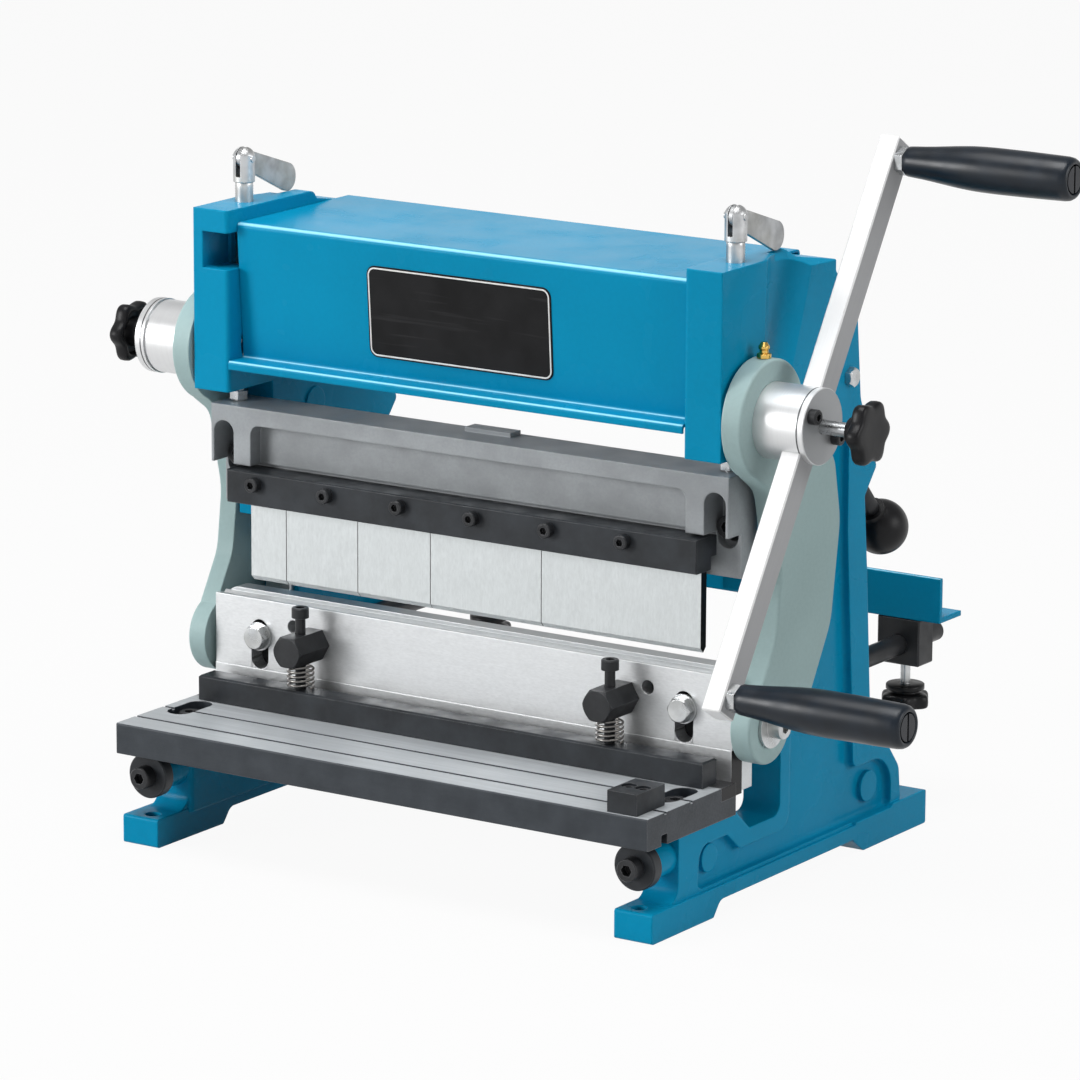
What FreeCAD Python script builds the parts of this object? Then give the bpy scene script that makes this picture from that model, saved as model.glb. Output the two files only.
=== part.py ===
import FreeCAD, Part
import math
import os

# Hand-cranked combination machine for sheet metal: shear below, press brake in the middle,
# slip rolls on top. Millimetres, X along the bed towards the crank, Y to the rear, Z up.
# Everything is drawn from the bend plane, the front face of the brake fingers, and then set
# so that the centre of the four foot holes at the underside of the feet is the origin.

# Bed and side frames
BED_WIDTH = 305.0
FRAME_WALL = 24.0
XI = BED_WIDTH / 2
XO = XI + FRAME_WALL
XM = XI + FRAME_WALL / 2
FRAME_HEIGHT = 358.0
HEAD_FRONT = -20.5
HEAD_BOTTOM = 253.3
BEAM_SEAT_Y = 22.0
THROAT_TOP = 172.5
UPRIGHT_Y = 46.5
FRAME_REAR_TOP = 98.5
LOWER_FRONT = -59.0
TABLE_SEAT_Z = 53.6
POCKET_DEPTH = 5.0
POCKET_RIM = 12.0
POCKET_FILLET = 2.5
WALL_FILLET = 9.0
EDGE_ROUND = 2.5

# Feet and their bolt pattern
FOOT_FRONT = -89.0
FOOT_LENGTH = 63.0
FOOT_THICK = 16.7
FOOT_PROUD = 2.3
REAR_FOOT_END = 205.5
REAR_FOOT_LENGTH = 70.5
REAR_FOOT_THICK = 20.0
UNDERCUT = 8.7
FOOT_HOLE_D = 9.0
FRONT_HOLE_Y = -80.0
HOLE_PITCH_Y = 270.0

# Drive: shaft with the lower roll, eccentric hubs, connecting rods
SHAFT_Y = 10.0
SHAFT_Z = 280.0
SHAFT_D = 20.0
ECCENTRICITY = 6.0
HUB_D = 42.3
HUB_REACH = 42.2
ROD_THICK = 12.0
ROD_GAP = 2.0
ROD_EYE_R = 33.5
ROD_FOOT_R = 22.0
ROD_LENGTH = 171.5
RUN_FIT = 0.05
BUSH_WALL = 3.0
PIN_D = 8.0
PIN_SET = 1.6
PIN_THREAD = 20.0

# Rolls and the gear pair that joins them
ROLL_D = 29.0
GEAR_MODULE = 2.5
GEAR_TEETH = 12
GEAR_WIDTH = 6.0
GEAR_SIDE_GAP = 0.5
UPPER_ROLL_LEAD = 2.0
REAR_ROLL_Y = 65.0
REAR_ROLL_Z = 295.0
JOURNAL_D = 16.0
BLOCK_SIZE = 26.0
BLOCK_X = 15.5
SLIDE_FIT = 0.3
UPPER_LIFT = 3.0
REAR_LIFT = 12.0

# Crank with two grips
CRANK_ANGLE = 32.2
CRANK_THROW = 157.5
CRANK_WIDTH = 16.5
CRANK_THICK = 12.0
CRANK_END = 11.0
DISC_THICK = 3.3
GRIP_LENGTH = 103.0
GRIP_SMALL_D = 18.0
GRIP_LARGE_D = 25.0
SPINDLE_D = 8.0

# Star knobs, ball knobs and adjusting screws
STAR_D = 37.0
STAR_THICK = 15.0
STAR_LOBES = 7
STAR_X = XO + HUB_REACH + 23.3
STAR_STUD_D = 8.0
ADJUST_D = 10.0
ADJUST_LEAD = 2.0
FORK_D = 12.4
FORK_TOP = FRAME_HEIGHT + 31.5
BALL_D = 32.0
BALL_FROM_LUG = 46.3

# Brake: finger beam, fingers and clamp bar
FINGER_BEAM_HALF = XO - 2.3
FINGER_BEAM_TOP = 243.0
FINGER_BEAM_HEAD_Z = 209.0
FINGER_BEAM_HEAD_Y = -8.0
FINGER_BEAM_BOTTOM = 184.0
FINGER_BEAM_SIDE = 27.4
FINGER_THICK = 5.6
FINGER_TIP_Z = 140.0
FINGER_TOP_Z = 195.0
FINGER_WIDTHS = (25.0, 50.0, 50.0, 75.0, BED_WIDTH - 200.0)
FINGER_GAP = 0.4
JACK_Y = 7.0
CLAMP_BAR_HALF = XI + 6.0
CLAMP_BAR_THICK = 15.2
CLAMP_BAR_Z = 188.2
CLAMP_BAR_HEIGHT = 19.2
CLAMP_SCREWS = 6
CLAMP_SCREW_D = 5.0
CLAMP_HEAD_D = 8.7
CLAMP_PITCH = 50.0

# Moving beam: bending die on top, shear blade below
DIE_HALF = XO - 1.0
DIE_FRONT = -3.4
DIE_THICK = 10.5
DIE_TOP = 130.2
DIE_BOTTOM = 89.0
VEE_DEPTH = 3.5
BODY_THICK = 10.4
BODY_TOP = 132.5
BODY_BOTTOM = 64.4
BLADE_LOW = 62.7
BLADE_RAKE = 7.3
BLADE_PROUD = 0.5
DIE_SLOT_X = XI - 8.3
DIE_SLOT_W = 12.0
DIE_SLOT_TOP = 118.3
DIE_HOLE_X = XI - 32.1
DIE_BOLT_Z = 108.5

# Hold-down for the shear
HOLD_X = XI - 47.5
HOLD_SCREW_Y = -18.0
POST_AF = 17.4
POST_Z = 109.8
POST_FRONT = -32.0
HOLD_BAR_HALF = XO - 5.6
HOLD_BAR_FRONT = -26.7
HOLD_BAR_WIDTH = 14.7
HOLD_BAR_FLOAT = 0.2
HOLD_BAR_HEIGHT = 14.6
SPRING_D = 16.0
SPRING_WIRE = 1.4
SPRING_TURNS = 5
HOLD_SCREW_D = 6.0
HOLD_HEAD_D = 10.0
HOLD_HEAD_H = 6.0
HOLD_HEAD_Z = 134.0

# Shear table
TABLE_HALF = XO + FOOT_PROUD
TABLE_FRONT = -94.6
TABLE_THICK = 18.1
TABLE_GROOVES = (-76.2, -49.7)
TABLE_SLOT_Y = -80.4
TABLE_SLOT_WIDTH = 6.1
BLADE_HOLE_PITCH = (BED_WIDTH - 17.0) / 3
FIXED_BLADE_DEPTH = 15.0
FIXED_BLADE_HEIGHT = 7.5
BLADE_CLEARANCE = 0.3
SUPPORT_R = 13.2
SUPPORT_THICK = 8.0
SUPPORT_BOSS_R = 10.5
SUPPORT_BOSS_LENGTH = 18.0
TABLE_SCREW_Y = -44.0
STOP_LENGTH = 28.0
STOP_WIDTH = 19.0
STOP_HEIGHT = 12.3
STOP_X0 = XI - 0.5
STOP_Y0 = -93.0

# Back gauge on two rods behind the beam
GAUGE_X = XI - 6.0
GAUGE_Z = 97.0
GAUGE_ROD_D = 12.0
GAUGE_ROD_END = 269.0
GAUGE_Y = 226.0
GAUGE_BLOCK_W = 28.0
GAUGE_BLOCK_DEPTH = 17.0
GAUGE_BLOCK_DROP = 11.6
GAUGE_LEG = 25.0
GAUGE_SHEET = 3.0
GAUGE_HALF = XO - 2.5
LOCK_D = 31.5
LOCK_THICK = 11.0
LOCK_DROP = 27.0

# Tie bars between the frames
TIE_Y = 115.0
TIE_Z = 278.4
TIE_D = 20.0
TIE_SCREW_D = 6.0
TIE_SCREW_AF = 10.0
LOW_TIE_Y = 147.3
LOW_TIE_Z = 36.5
LOW_TIE_D = 18.0
LUG_Y = 141.0
LUG_Z = 214.0

# Hood over the rolls
HOOD_SHEET = 1.6
HOOD_TOP = FRAME_HEIGHT - 7.5
HOOD_FRONT_TOP = -12.0
HOOD_FRONT_LOW = -6.5
HOOD_LOW_Z = 272.0
HOOD_BACK = 100.0
HOOD_SIDE_GAP = 0.3

# Standard socket screw and hex screw, size 8
SCREW_D = 8.0
HEAD_D = 13.0
HEAD_H = 8.0
SOCKET_AF = 6.0
HEX_AF = 13.0
HEX_H = 5.3

# Values that follow from the ones above
HUB_Z = SHAFT_Z - ECCENTRICITY
ROD_X = XO + ROD_GAP
ROD_OUT = ROD_X + ROD_THICK
HUB_OUT = XO + HUB_REACH
PIN_Y = SHAFT_Y
PIN_Z = HUB_Z - ROD_LENGTH
CENTRE_DISTANCE = GEAR_MODULE * GEAR_TEETH
UPPER_Y = SHAFT_Y + UPPER_ROLL_LEAD
UPPER_Z = SHAFT_Z + math.sqrt(CENTRE_DISTANCE ** 2 - UPPER_ROLL_LEAD ** 2)
CLAMP_SCREW_Z = CLAMP_BAR_Z + 12.6
STOP_SCREWS = (STOP_X0 + 5, STOP_X0 + STOP_WIDTH - 5)
BODY_FRONT = DIE_FRONT + DIE_THICK
BODY_BACK = BODY_FRONT + BODY_THICK
TABLE_TOP = TABLE_SEAT_Z + TABLE_THICK
HOLD_BAR_Z = TABLE_TOP + HOLD_BAR_FLOAT
SUPPORT_Z = TABLE_SEAT_Z - SUPPORT_R
SUPPORT_FRONT = LOWER_FRONT - SUPPORT_BOSS_LENGTH - SUPPORT_THICK
BEND_Y = -FRONT_HOLE_Y - HOLE_PITCH_Y / 2

V = FreeCAD.Vector
LUG = V(0, LUG_Y, LUG_Z)
EX = V(1, 0, 0)
EY = V(0, 1, 0)
EZ = V(0, 0, 1)


# Small helpers

def box(x0, x1, y0, y1, z0, z1):
    return Part.makeBox(x1 - x0, y1 - y0, z1 - z0, V(x0, y0, z0))


def rod(x, y, z, axis, radius, length):
    return Part.makeCylinder(radius, length, V(x, y, z), axis)


def outline(points):
    # closed wire in the YZ plane through corners (y, z, radius)
    edges = []
    ends = []
    n = len(points)
    for i in range(n):
        y, z, r = points[i]
        p = V(0, y, z)
        if r <= 0:
            ends.append((p, p, None))
            continue
        a = (V(0, points[i - 1][0], points[i - 1][1]) - p).normalize()
        b = (V(0, points[(i + 1) % n][0], points[(i + 1) % n][1]) - p).normalize()
        half = math.acos(max(-1.0, min(1.0, a.dot(b)))) / 2
        t = r / math.tan(half)
        m = (a + b).normalize()
        mid = p + m * (r / math.sin(half) - r)
        ends.append((p + a * t, p + b * t, mid))
    for i in range(n):
        s, e, mid = ends[i]
        if mid is not None:
            edges.append(Part.Arc(s, mid, e).toShape())
        nxt = ends[(i + 1) % n][0]
        if (nxt - e).Length > 1e-6:
            edges.append(Part.makeLine(e, nxt))
    return Part.Wire(edges)


def plate(points, x0, x1):
    face = Part.Face(outline(points))
    return face.translated(V(x0, 0, 0)).extrude(V(x1 - x0, 0, 0))


def fuse(first, *rest):
    shape = first
    for other in rest:
        shape = shape.fuse(other)
    return shape.removeSplitter()


def mirror(shape):
    return shape.mirror(V(0, 0, 0), EX)


def turn(shape, base, axis, angle):
    s = shape.copy()
    s.rotate(base, axis, angle)
    return s


def aim(shape, point, direction):
    # a piece drawn along +Z from the origin is laid along direction from point
    s = shape.copy()
    rot = FreeCAD.Rotation(EZ, direction)
    s.Placement = FreeCAD.Placement(point, rot).multiply(s.Placement)
    return s


def prism(sides, across_flats, height, z=0.0, phase=0.0):
    r = across_flats / 2 / math.cos(math.pi / sides)
    pts = []
    for i in range(sides + 1):
        a = 2 * math.pi * (i + phase) / sides
        pts.append(V(r * math.cos(a), r * math.sin(a), z))
    return Part.Face(Part.makePolygon(pts)).extrude(V(0, 0, height))


def revolve(points):
    # (radius, z) corners turned about Z
    pts = [V(r, 0, z) for r, z in points]
    face = Part.Face(Part.makePolygon(pts + [pts[0]]))
    return face.revolve(V(0, 0, 0), EZ, 360)


def socket_screw(length, d=SCREW_D, head_d=HEAD_D, head_h=HEAD_H, key=SOCKET_AF):
    # head above z = 0, shank below
    chamfer = 0.6
    body = revolve([(0, -length), (d / 2, -length), (d / 2, 0), (head_d / 2, 0),
                    (head_d / 2, head_h - chamfer), (head_d / 2 - chamfer, head_h), (0, head_h)])
    return body.cut(prism(6, key, head_h * 0.55, head_h * 0.45))


def hex_screw(length, d=SCREW_D, af=HEX_AF, head_h=HEX_H):
    head = prism(6, af, head_h)
    cone = Part.makeCone(af * 0.48 + head_h, af * 0.48, head_h)
    head = head.common(cone)
    return fuse(head, Part.makeCylinder(d / 2, length, V(0, 0, -length)))


def ring(outer, inner, x0, x1, y, z):
    a = rod(x0, y, z, EX, outer, x1 - x0)
    return a.cut(rod(x0 - 1, y, z, EX, inner, x1 - x0 + 2))


def slot_y(x, z0, z1, width, y0, y1):
    # upright round-ended slot through a plate that faces the front
    r = width / 2
    s = box(x - r, x + r, y0, y1, z0 + r, z1 - r)
    s = s.fuse(rod(x, y0, z0 + r, EY, r, y1 - y0))
    return s.fuse(rod(x, y0, z1 - r, EY, r, y1 - y0))


def slot_z(x0, y0, x1, y1, width, z0, z1):
    # flat round-ended slot from one centre to the other, open upwards
    r = width / 2
    d = V(x1 - x0, y1 - y0, 0)
    n = V(-d.y, d.x, 0).normalize() * r
    a = V(x0, y0, z0)
    b = V(x1, y1, z0)
    pts = [a + n, a - n, b - n, b + n, a + n]
    s = Part.Face(Part.makePolygon(pts)).extrude(V(0, 0, z1 - z0))
    s = s.fuse(Part.makeCylinder(r, z1 - z0, a))
    return s.fuse(Part.makeCylinder(r, z1 - z0, b))


PARTS = {}


def keep(name, *solids):
    shape = solids[0] if len(solids) == 1 else Part.makeCompound(list(solids))
    PARTS[name] = shape


# Side frames

def rear_axis():
    # the rear adjusting screws climb from the lug on the back edge to the rear roll
    d = V(0, REAR_ROLL_Y - LUG.y, REAR_ROLL_Z - LUG.z)
    return d.normalize()


def frame_outline():
    f = FRAME_HEIGHT
    y1 = LOWER_FRONT
    u = UPRIGHT_Y
    s = BEAM_SEAT_Y
    t = TABLE_SEAT_Z
    return [(y1, FOOT_THICK - 2, 0), (y1, t, 0), (0, t, 0), (14, t - 12.1, 3), (u, t - 12.1, 7),
            (u, THROAT_TOP, 24), (s, THROAT_TOP, 0), (s, HEAD_BOTTOM, 0), (HEAD_FRONT, HEAD_BOTTOM, 0),
            (HEAD_FRONT, f, 0), (63, f, 6), (66, f - 4.8, 3), (FRAME_REAR_TOP, f - 10.5, 0),
            (FRAME_REAR_TOP, f - 17, 3), (122.8, 313, 12), (127.7, 264, 14), (146.5, 222, 3),
            (134, 207, 3), (138, 163, 20), (145.6, 57.5, 5), (163, 57.5, 14), (177.5, 40, 10),
            (179.4, 24, 3), (179.4, FOOT_THICK - 2, 0)]


def pocket_outline():
    # lobes round the two bosses, front and rear, joined above the foot
    r = POCKET_RIM
    u = UPRIGHT_Y
    t = TABLE_SEAT_Z
    low = FOOT_THICK + 1.5
    return [(LOWER_FRONT + 19, low, 5), (LOWER_FRONT + 22, t - 10.6, 9), (-9, t - 10.6, 4),
            (4.5, t - 21.6, 4), (u + r - 2, t - 21.6, 10), (u + r - 1, 228, 8), (78, 262, 10),
            (127.7 - r, 264 - r, 10), (128 - r, 190, 8),
            (135.5 - r, 90, 12), (138 - r, 50, 6), (169, 50, 20), (169, low, 4)]


def frame():
    web = plate(frame_outline(), XI, XO)
    y_round = (LOWER_FRONT, HEAD_FRONT)
    upright = [e for e in web.Edges if e.Length > 20 and abs(e.Vertexes[0].Z - e.Vertexes[1].Z) > 20
               and any(abs(v.Y - y) < 1e-6 for v in e.Vertexes for y in y_round)
               and abs(e.Vertexes[0].Y - e.Vertexes[1].Y) < 1e-6 and e.Vertexes[0].X < XM]
    web = web.makeFillet(EDGE_ROUND, upright)
    w = WALL_FILLET
    y1 = LOWER_FRONT
    toe = plate([(y1 - w - 0.5, FOOT_THICK - 2, 0), (y1 - w - 0.5, FOOT_THICK, 0), (y1, FOOT_THICK, w),
                 (y1, FOOT_THICK + w + 1, 0), (y1 + 4, FOOT_THICK + w + 1, 0), (y1 + 4, FOOT_THICK - 2, 0)],
                XI + EDGE_ROUND, XO)
    foot0 = XI + 2
    foot1 = XO + FOOT_PROUD
    fy = FOOT_FRONT
    front = plate([(fy, 0, 1.5), (fy + FOOT_LENGTH, 0, 2), (fy + FOOT_LENGTH + 7, UNDERCUT, 7),
                   (fy + FOOT_LENGTH + 20, UNDERCUT, 0), (fy + FOOT_LENGTH + 20, FOOT_THICK, 0),
                   (fy, FOOT_THICK, 1.5)], foot0, foot1)
    ry = REAR_FOOT_END - REAR_FOOT_LENGTH
    base = box(foot0, foot1, fy + FOOT_LENGTH + 8, ry + 10, UNDERCUT, FOOT_THICK)
    rear = plate([(ry, 0, 1.5), (REAR_FOOT_END, 0, 1.5), (REAR_FOOT_END, REAR_FOOT_THICK, 1.5),
                  (ry - 8, REAR_FOOT_THICK, 0), (ry - 12, UNDERCUT, 4)], foot0, foot1)
    body = fuse(web, toe, front, base, rear)
    body = body.fuse(rod(XM, LOWER_FRONT - SUPPORT_BOSS_LENGTH, SUPPORT_Z, EY, SUPPORT_BOSS_R,
                         SUPPORT_BOSS_LENGTH + 5))
    # the outer face is let in behind a rim
    pocket = plate(pocket_outline(), XO - POCKET_DEPTH, XO + 5)
    floor = [e for e in pocket.Edges if all(abs(v.X - XO + POCKET_DEPTH) < 1e-6 for v in e.Vertexes)]
    body = body.cut(pocket.makeFillet(POCKET_FILLET, floor))
    for y, z, r in ((LOW_TIE_Y, LOW_TIE_Z - 2, 9), (-24, 33, 8)):
        body = body.fuse(rod(XO - POCKET_DEPTH - 1, y, z, EX, r, POCKET_DEPTH - 1))
    # soft valley down the outer face and the slanting top behind it
    r = 46.0
    top = V(XO + r - 7, 50, FRAME_HEIGHT)
    low = V(XO + r, 33, 268)
    axis = (top - low).normalize()
    body = body.cut(Part.makeCylinder(r, 130, low - axis * 20, axis))
    slab = box(-60, 60, -60, 60, 0, 40)
    slab = aim(slab, V(XO, 43, FRAME_HEIGHT - 9), V(0.6, 0.03, 0.8))
    body = body.cut(slab.common(box(XI, XO + 5, 44, FRAME_REAR_TOP + 10, 300, FRAME_HEIGHT + 9)))
    # pad on the inner face
    body = body.fuse(rod(XI - 1.2, 63, 234, EX, 9, 3))
    # shaft bore with its bush seat, and the foot holes
    body = body.cut(rod(XI - 3, SHAFT_Y, SHAFT_Z, EX, SHAFT_D / 2 + BUSH_WALL, FRAME_WALL + 6))
    for y in (FRONT_HOLE_Y, FRONT_HOLE_Y + HOLE_PITCH_Y):
        body = body.cut(rod(XM, y, -1, EZ, FOOT_HOLE_D / 2, REAR_FOOT_THICK + 5))
    # slot of the upper bearing block, open to the inside
    w = BLOCK_SIZE / 2 + SLIDE_FIT
    low = UPPER_Z - w
    body = body.cut(box(XI - 2, XI + BLOCK_X + SLIDE_FIT, UPPER_Y - w, UPPER_Y + w, low, low + 49))
    body = body.cut(rod(XM, UPPER_Y, UPPER_Z, EZ, ADJUST_D / 2 + RUN_FIT, FRAME_HEIGHT + 5 - UPPER_Z))
    # slot and screw hole of the rear bearing block
    a = rear_axis()
    ang = math.degrees(math.atan2(a.z, a.y)) - 90
    s = box(XI - 2, XI + BLOCK_X + SLIDE_FIT, -w, w, -w, w + REAR_LIFT)
    s = turn(s, V(0, 0, 0), EX, ang).translated(V(0, REAR_ROLL_Y, REAR_ROLL_Z))
    body = body.cut(s)
    body = body.cut(rod(XM, LUG.y - a.y * 12, LUG.z - a.z * 12, a, ADJUST_D / 2 + RUN_FIT, 126))
    # threaded holes: finger beam, table, discs, tie bars
    body = body.cut(rod(XM + 1, BEAM_SEAT_Y - 1, 212, EY, SCREW_D / 2, 19))
    body = body.cut(rod(XM, LOWER_FRONT - SUPPORT_BOSS_LENGTH - 1, SUPPORT_Z, EY, SCREW_D / 2, 21))
    body = body.cut(rod(XM, TABLE_SCREW_Y, TABLE_SEAT_Z - 15, EZ, SCREW_D / 2, 20))
    body = body.cut(rod(XI - 3, TIE_Y, TIE_Z, EX, TIE_SCREW_D / 2, FRAME_WALL + 6))
    body = body.cut(rod(XI - 3, LOW_TIE_Y, LOW_TIE_Z, EX, 6, 12 + 3))
    return body


def frames():
    right = frame()
    left = mirror(right)
    # window on the front of the left head, over the bearing block
    left = left.cut(box(-XO + 6.3, -XI + 2, HEAD_FRONT - 1, UPPER_Y - BLOCK_SIZE / 2 + 5,
                        FRAME_HEIGHT - 34, FRAME_HEIGHT - 13))
    # the gear pair runs in a chamber in the left frame
    g = GEAR_MODULE * (GEAR_TEETH + 2) / 2 + 0.8
    depth = GEAR_WIDTH + 2 * GEAR_SIDE_GAP
    for y, z in ((SHAFT_Y, SHAFT_Z), (UPPER_Y, UPPER_Z), (UPPER_Y, UPPER_Z + UPPER_LIFT)):
        left = left.cut(rod(-XI - depth, y, z, EX, g, depth + 3))
    keep("right_frame", right)
    keep("left_frame", left)
    bush = ring(SHAFT_D / 2 + BUSH_WALL, SHAFT_D / 2 + RUN_FIT, XI, XO, SHAFT_Y, SHAFT_Z)
    lb = ring(SHAFT_D / 2 + BUSH_WALL, SHAFT_D / 2 + RUN_FIT, -XO, -XI - depth, SHAFT_Y, SHAFT_Z)
    keep("shaft_bushes", bush, lb)


def tie_bars():
    upper = rod(-XI, TIE_Y, TIE_Z, EX, TIE_D / 2, BED_WIDTH)
    for x in (-XI, XI - 18):
        upper = upper.cut(rod(x, TIE_Y, TIE_Z, EX, TIE_SCREW_D / 2, 18))
    lower = rod(-XI - 12, LOW_TIE_Y, LOW_TIE_Z, EX, 6, BED_WIDTH + 24)
    lower = lower.fuse(rod(-XI, LOW_TIE_Y, LOW_TIE_Z, EX, LOW_TIE_D / 2, BED_WIDTH))
    keep("tie_bars", upper, lower)


def hood():
    # folded cover: leaning front with a lip, flat top, short fold at the back
    t = HOOD_SHEET
    top = HOOD_TOP
    yt = HOOD_FRONT_TOP
    yl = HOOD_FRONT_LOW
    zl = HOOD_LOW_Z
    out = [(yt, top, 3), (HOOD_BACK, top, 3), (HOOD_BACK, top - 22, 0), (HOOD_BACK - t, top - 22, 0),
           (HOOD_BACK - t, top - t, 1.4), (yt + t, top - t, 1.4), (yl + t, zl - t, 1.4),
           (HEAD_FRONT + 1, zl - t, 1.4), (HEAD_FRONT + 1, zl - 5, 0), (HEAD_FRONT + 1 - t, zl - 5, 0),
           (HEAD_FRONT + 1 - t, zl, 1.8), (yl, zl, 1.4)]
    keep("hood", plate(out, -XI + HOOD_SIDE_GAP, XI - HOOD_SIDE_GAP))


# Press brake

def finger_beam():
    h = FINGER_BEAM_HALF
    y0 = FINGER_BEAM_HEAD_Y
    back = BEAM_SEAT_Y
    head = box(-h, h, y0, back, FINGER_BEAM_HEAD_Z, FINGER_BEAM_TOP)
    low = box(-h, h, FINGER_THICK, back, FINGER_BEAM_BOTTOM, FINGER_BEAM_HEAD_Z + 1)
    body = fuse(head, low)
    pocket = FINGER_BEAM_HALF - FINGER_BEAM_SIDE
    cut = box(-pocket, pocket, y0 - 1, y0 + 10, FINGER_BEAM_HEAD_Z - 1, FINGER_BEAM_TOP - 10)
    tall = [e for e in cut.Edges if abs(e.Vertexes[0].Z - e.Vertexes[1].Z) < 1e-6
            and abs(e.Vertexes[0].X - e.Vertexes[1].X) < 1e-6 and e.Vertexes[0].Z > 220]
    cut = cut.makeFillet(6, tall)
    body = body.cut(cut)
    body = body.cut(box(-h - 1, h + 1, back - 6, back + 1, FINGER_BEAM_BOTTOM - 1, FINGER_TOP_Z - 1))
    # cast pad on the top edge at mid length
    body = body.fuse(box(-11, 20, back - 12, back - 2, FINGER_BEAM_TOP - 1, FINGER_BEAM_TOP + 2.6))
    for x in (-XM - 1, XM + 1):
        body = body.cut(slot_y(x, 200, 233.7, 14, y0 - 1, back - 10))
        body = body.cut(slot_y(x, 203, 230.7, SCREW_D + 1, back - 11, back + 1))
        body = body.cut(rod(x, JACK_Y, FINGER_BEAM_TOP - 20, EZ, 3, 21))
    for x in clamp_screw_x():
        body = body.cut(rod(x, FINGER_THICK - 1, CLAMP_SCREW_Z, EY, CLAMP_SCREW_D / 2, 16))
    keep("finger_beam", body)


def clamp_screw_x():
    x0 = -CLAMP_BAR_HALF + 20.2
    return [x0 + CLAMP_PITCH * i for i in range(CLAMP_SCREWS)]


def fingers():
    # ground blades of graded widths, bevelled to a tip on both faces
    t = FINGER_THICK
    tip = FINGER_TIP_Z
    solids = []
    x = -sum(FINGER_WIDTHS) / 2
    for w in FINGER_WIDTHS:
        pts = [(0, FINGER_TOP_Z, 0), (0, tip + t / 2, 0), (t / 2, tip, 0), (t, tip + t / 2, 0),
               (t, FINGER_TOP_Z, 0)]
        solids.append(plate(pts, x + FINGER_GAP / 2, x + w - FINGER_GAP / 2))
        x += w
    keep("fingers", *solids)


def clamp_bar():
    z0 = CLAMP_BAR_Z
    z1 = z0 + CLAMP_BAR_HEIGHT
    h = CLAMP_BAR_HALF
    bar = box(-h, h, -CLAMP_BAR_THICK, 0, z0, z1)
    bar = bar.makeChamfer(0.6, [e for e in bar.Edges if e.Vertexes[0].Y < -1 and e.Vertexes[1].Y < -1])
    # heel over the finger tops that bears on the finger beam
    bar = bar.fuse(box(-h, h, -1, FINGER_THICK, FINGER_TOP_Z + 0.4, z1 - 0.6))
    for x in clamp_screw_x():
        bar = bar.cut(rod(x, -CLAMP_BAR_THICK - 1, CLAMP_SCREW_Z, EY, CLAMP_SCREW_D / 2 + 0.3, 40))
    keep("clamp_bar", bar)


# Fixed screws of the brake, table and discs

def fixed_screws():
    solids = []
    front = V(0, -1, 0)
    for x in clamp_screw_x():
        p = V(x, -CLAMP_BAR_THICK, CLAMP_SCREW_Z)
        s = socket_screw(CLAMP_BAR_THICK + FINGER_THICK + 12, CLAMP_SCREW_D, CLAMP_HEAD_D,
                         CLAMP_SCREW_D, 4)
        solids.append(aim(s, p, front))
    for x in (-XM - 1, XM + 1):
        solids.append(aim(socket_screw(26), V(x, BEAM_SEAT_Y - 10, 212), front))
    for x in (-XM, XM):
        p = V(x, SUPPORT_FRONT, SUPPORT_Z)
        solids.append(aim(socket_screw(SUPPORT_THICK + 14), p, front))
        p = V(x, TABLE_SCREW_Y, TABLE_TOP - TABLE_THICK + 8)
        solids.append(aim(socket_screw(20), p, EZ))
    solids += stop_screws()
    keep("socket_screws", *solids)
    jacks = []
    for x in (-XM, XM):
        s = fuse(prism(6, 10, 5), Part.makeCylinder(3, 18, V(0, 0, -18)),
                 Part.makeCylinder(3, HEAD_BOTTOM - FINGER_BEAM_TOP - 5, V(0, 0, 4)))
        jacks.append(s.translated(V(x + math.copysign(1, x), JACK_Y, FINGER_BEAM_TOP + 1)))
    ties = []
    for sx in (1, -1):
        s = hex_screw(FRAME_WALL + 12, TIE_SCREW_D, TIE_SCREW_AF, 4)
        ties.append(aim(s, V(sx * XO, TIE_Y, TIE_Z), V(sx, 0, 0)))
    keep("hex_screws", *(jacks + ties))


# Shear table

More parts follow.
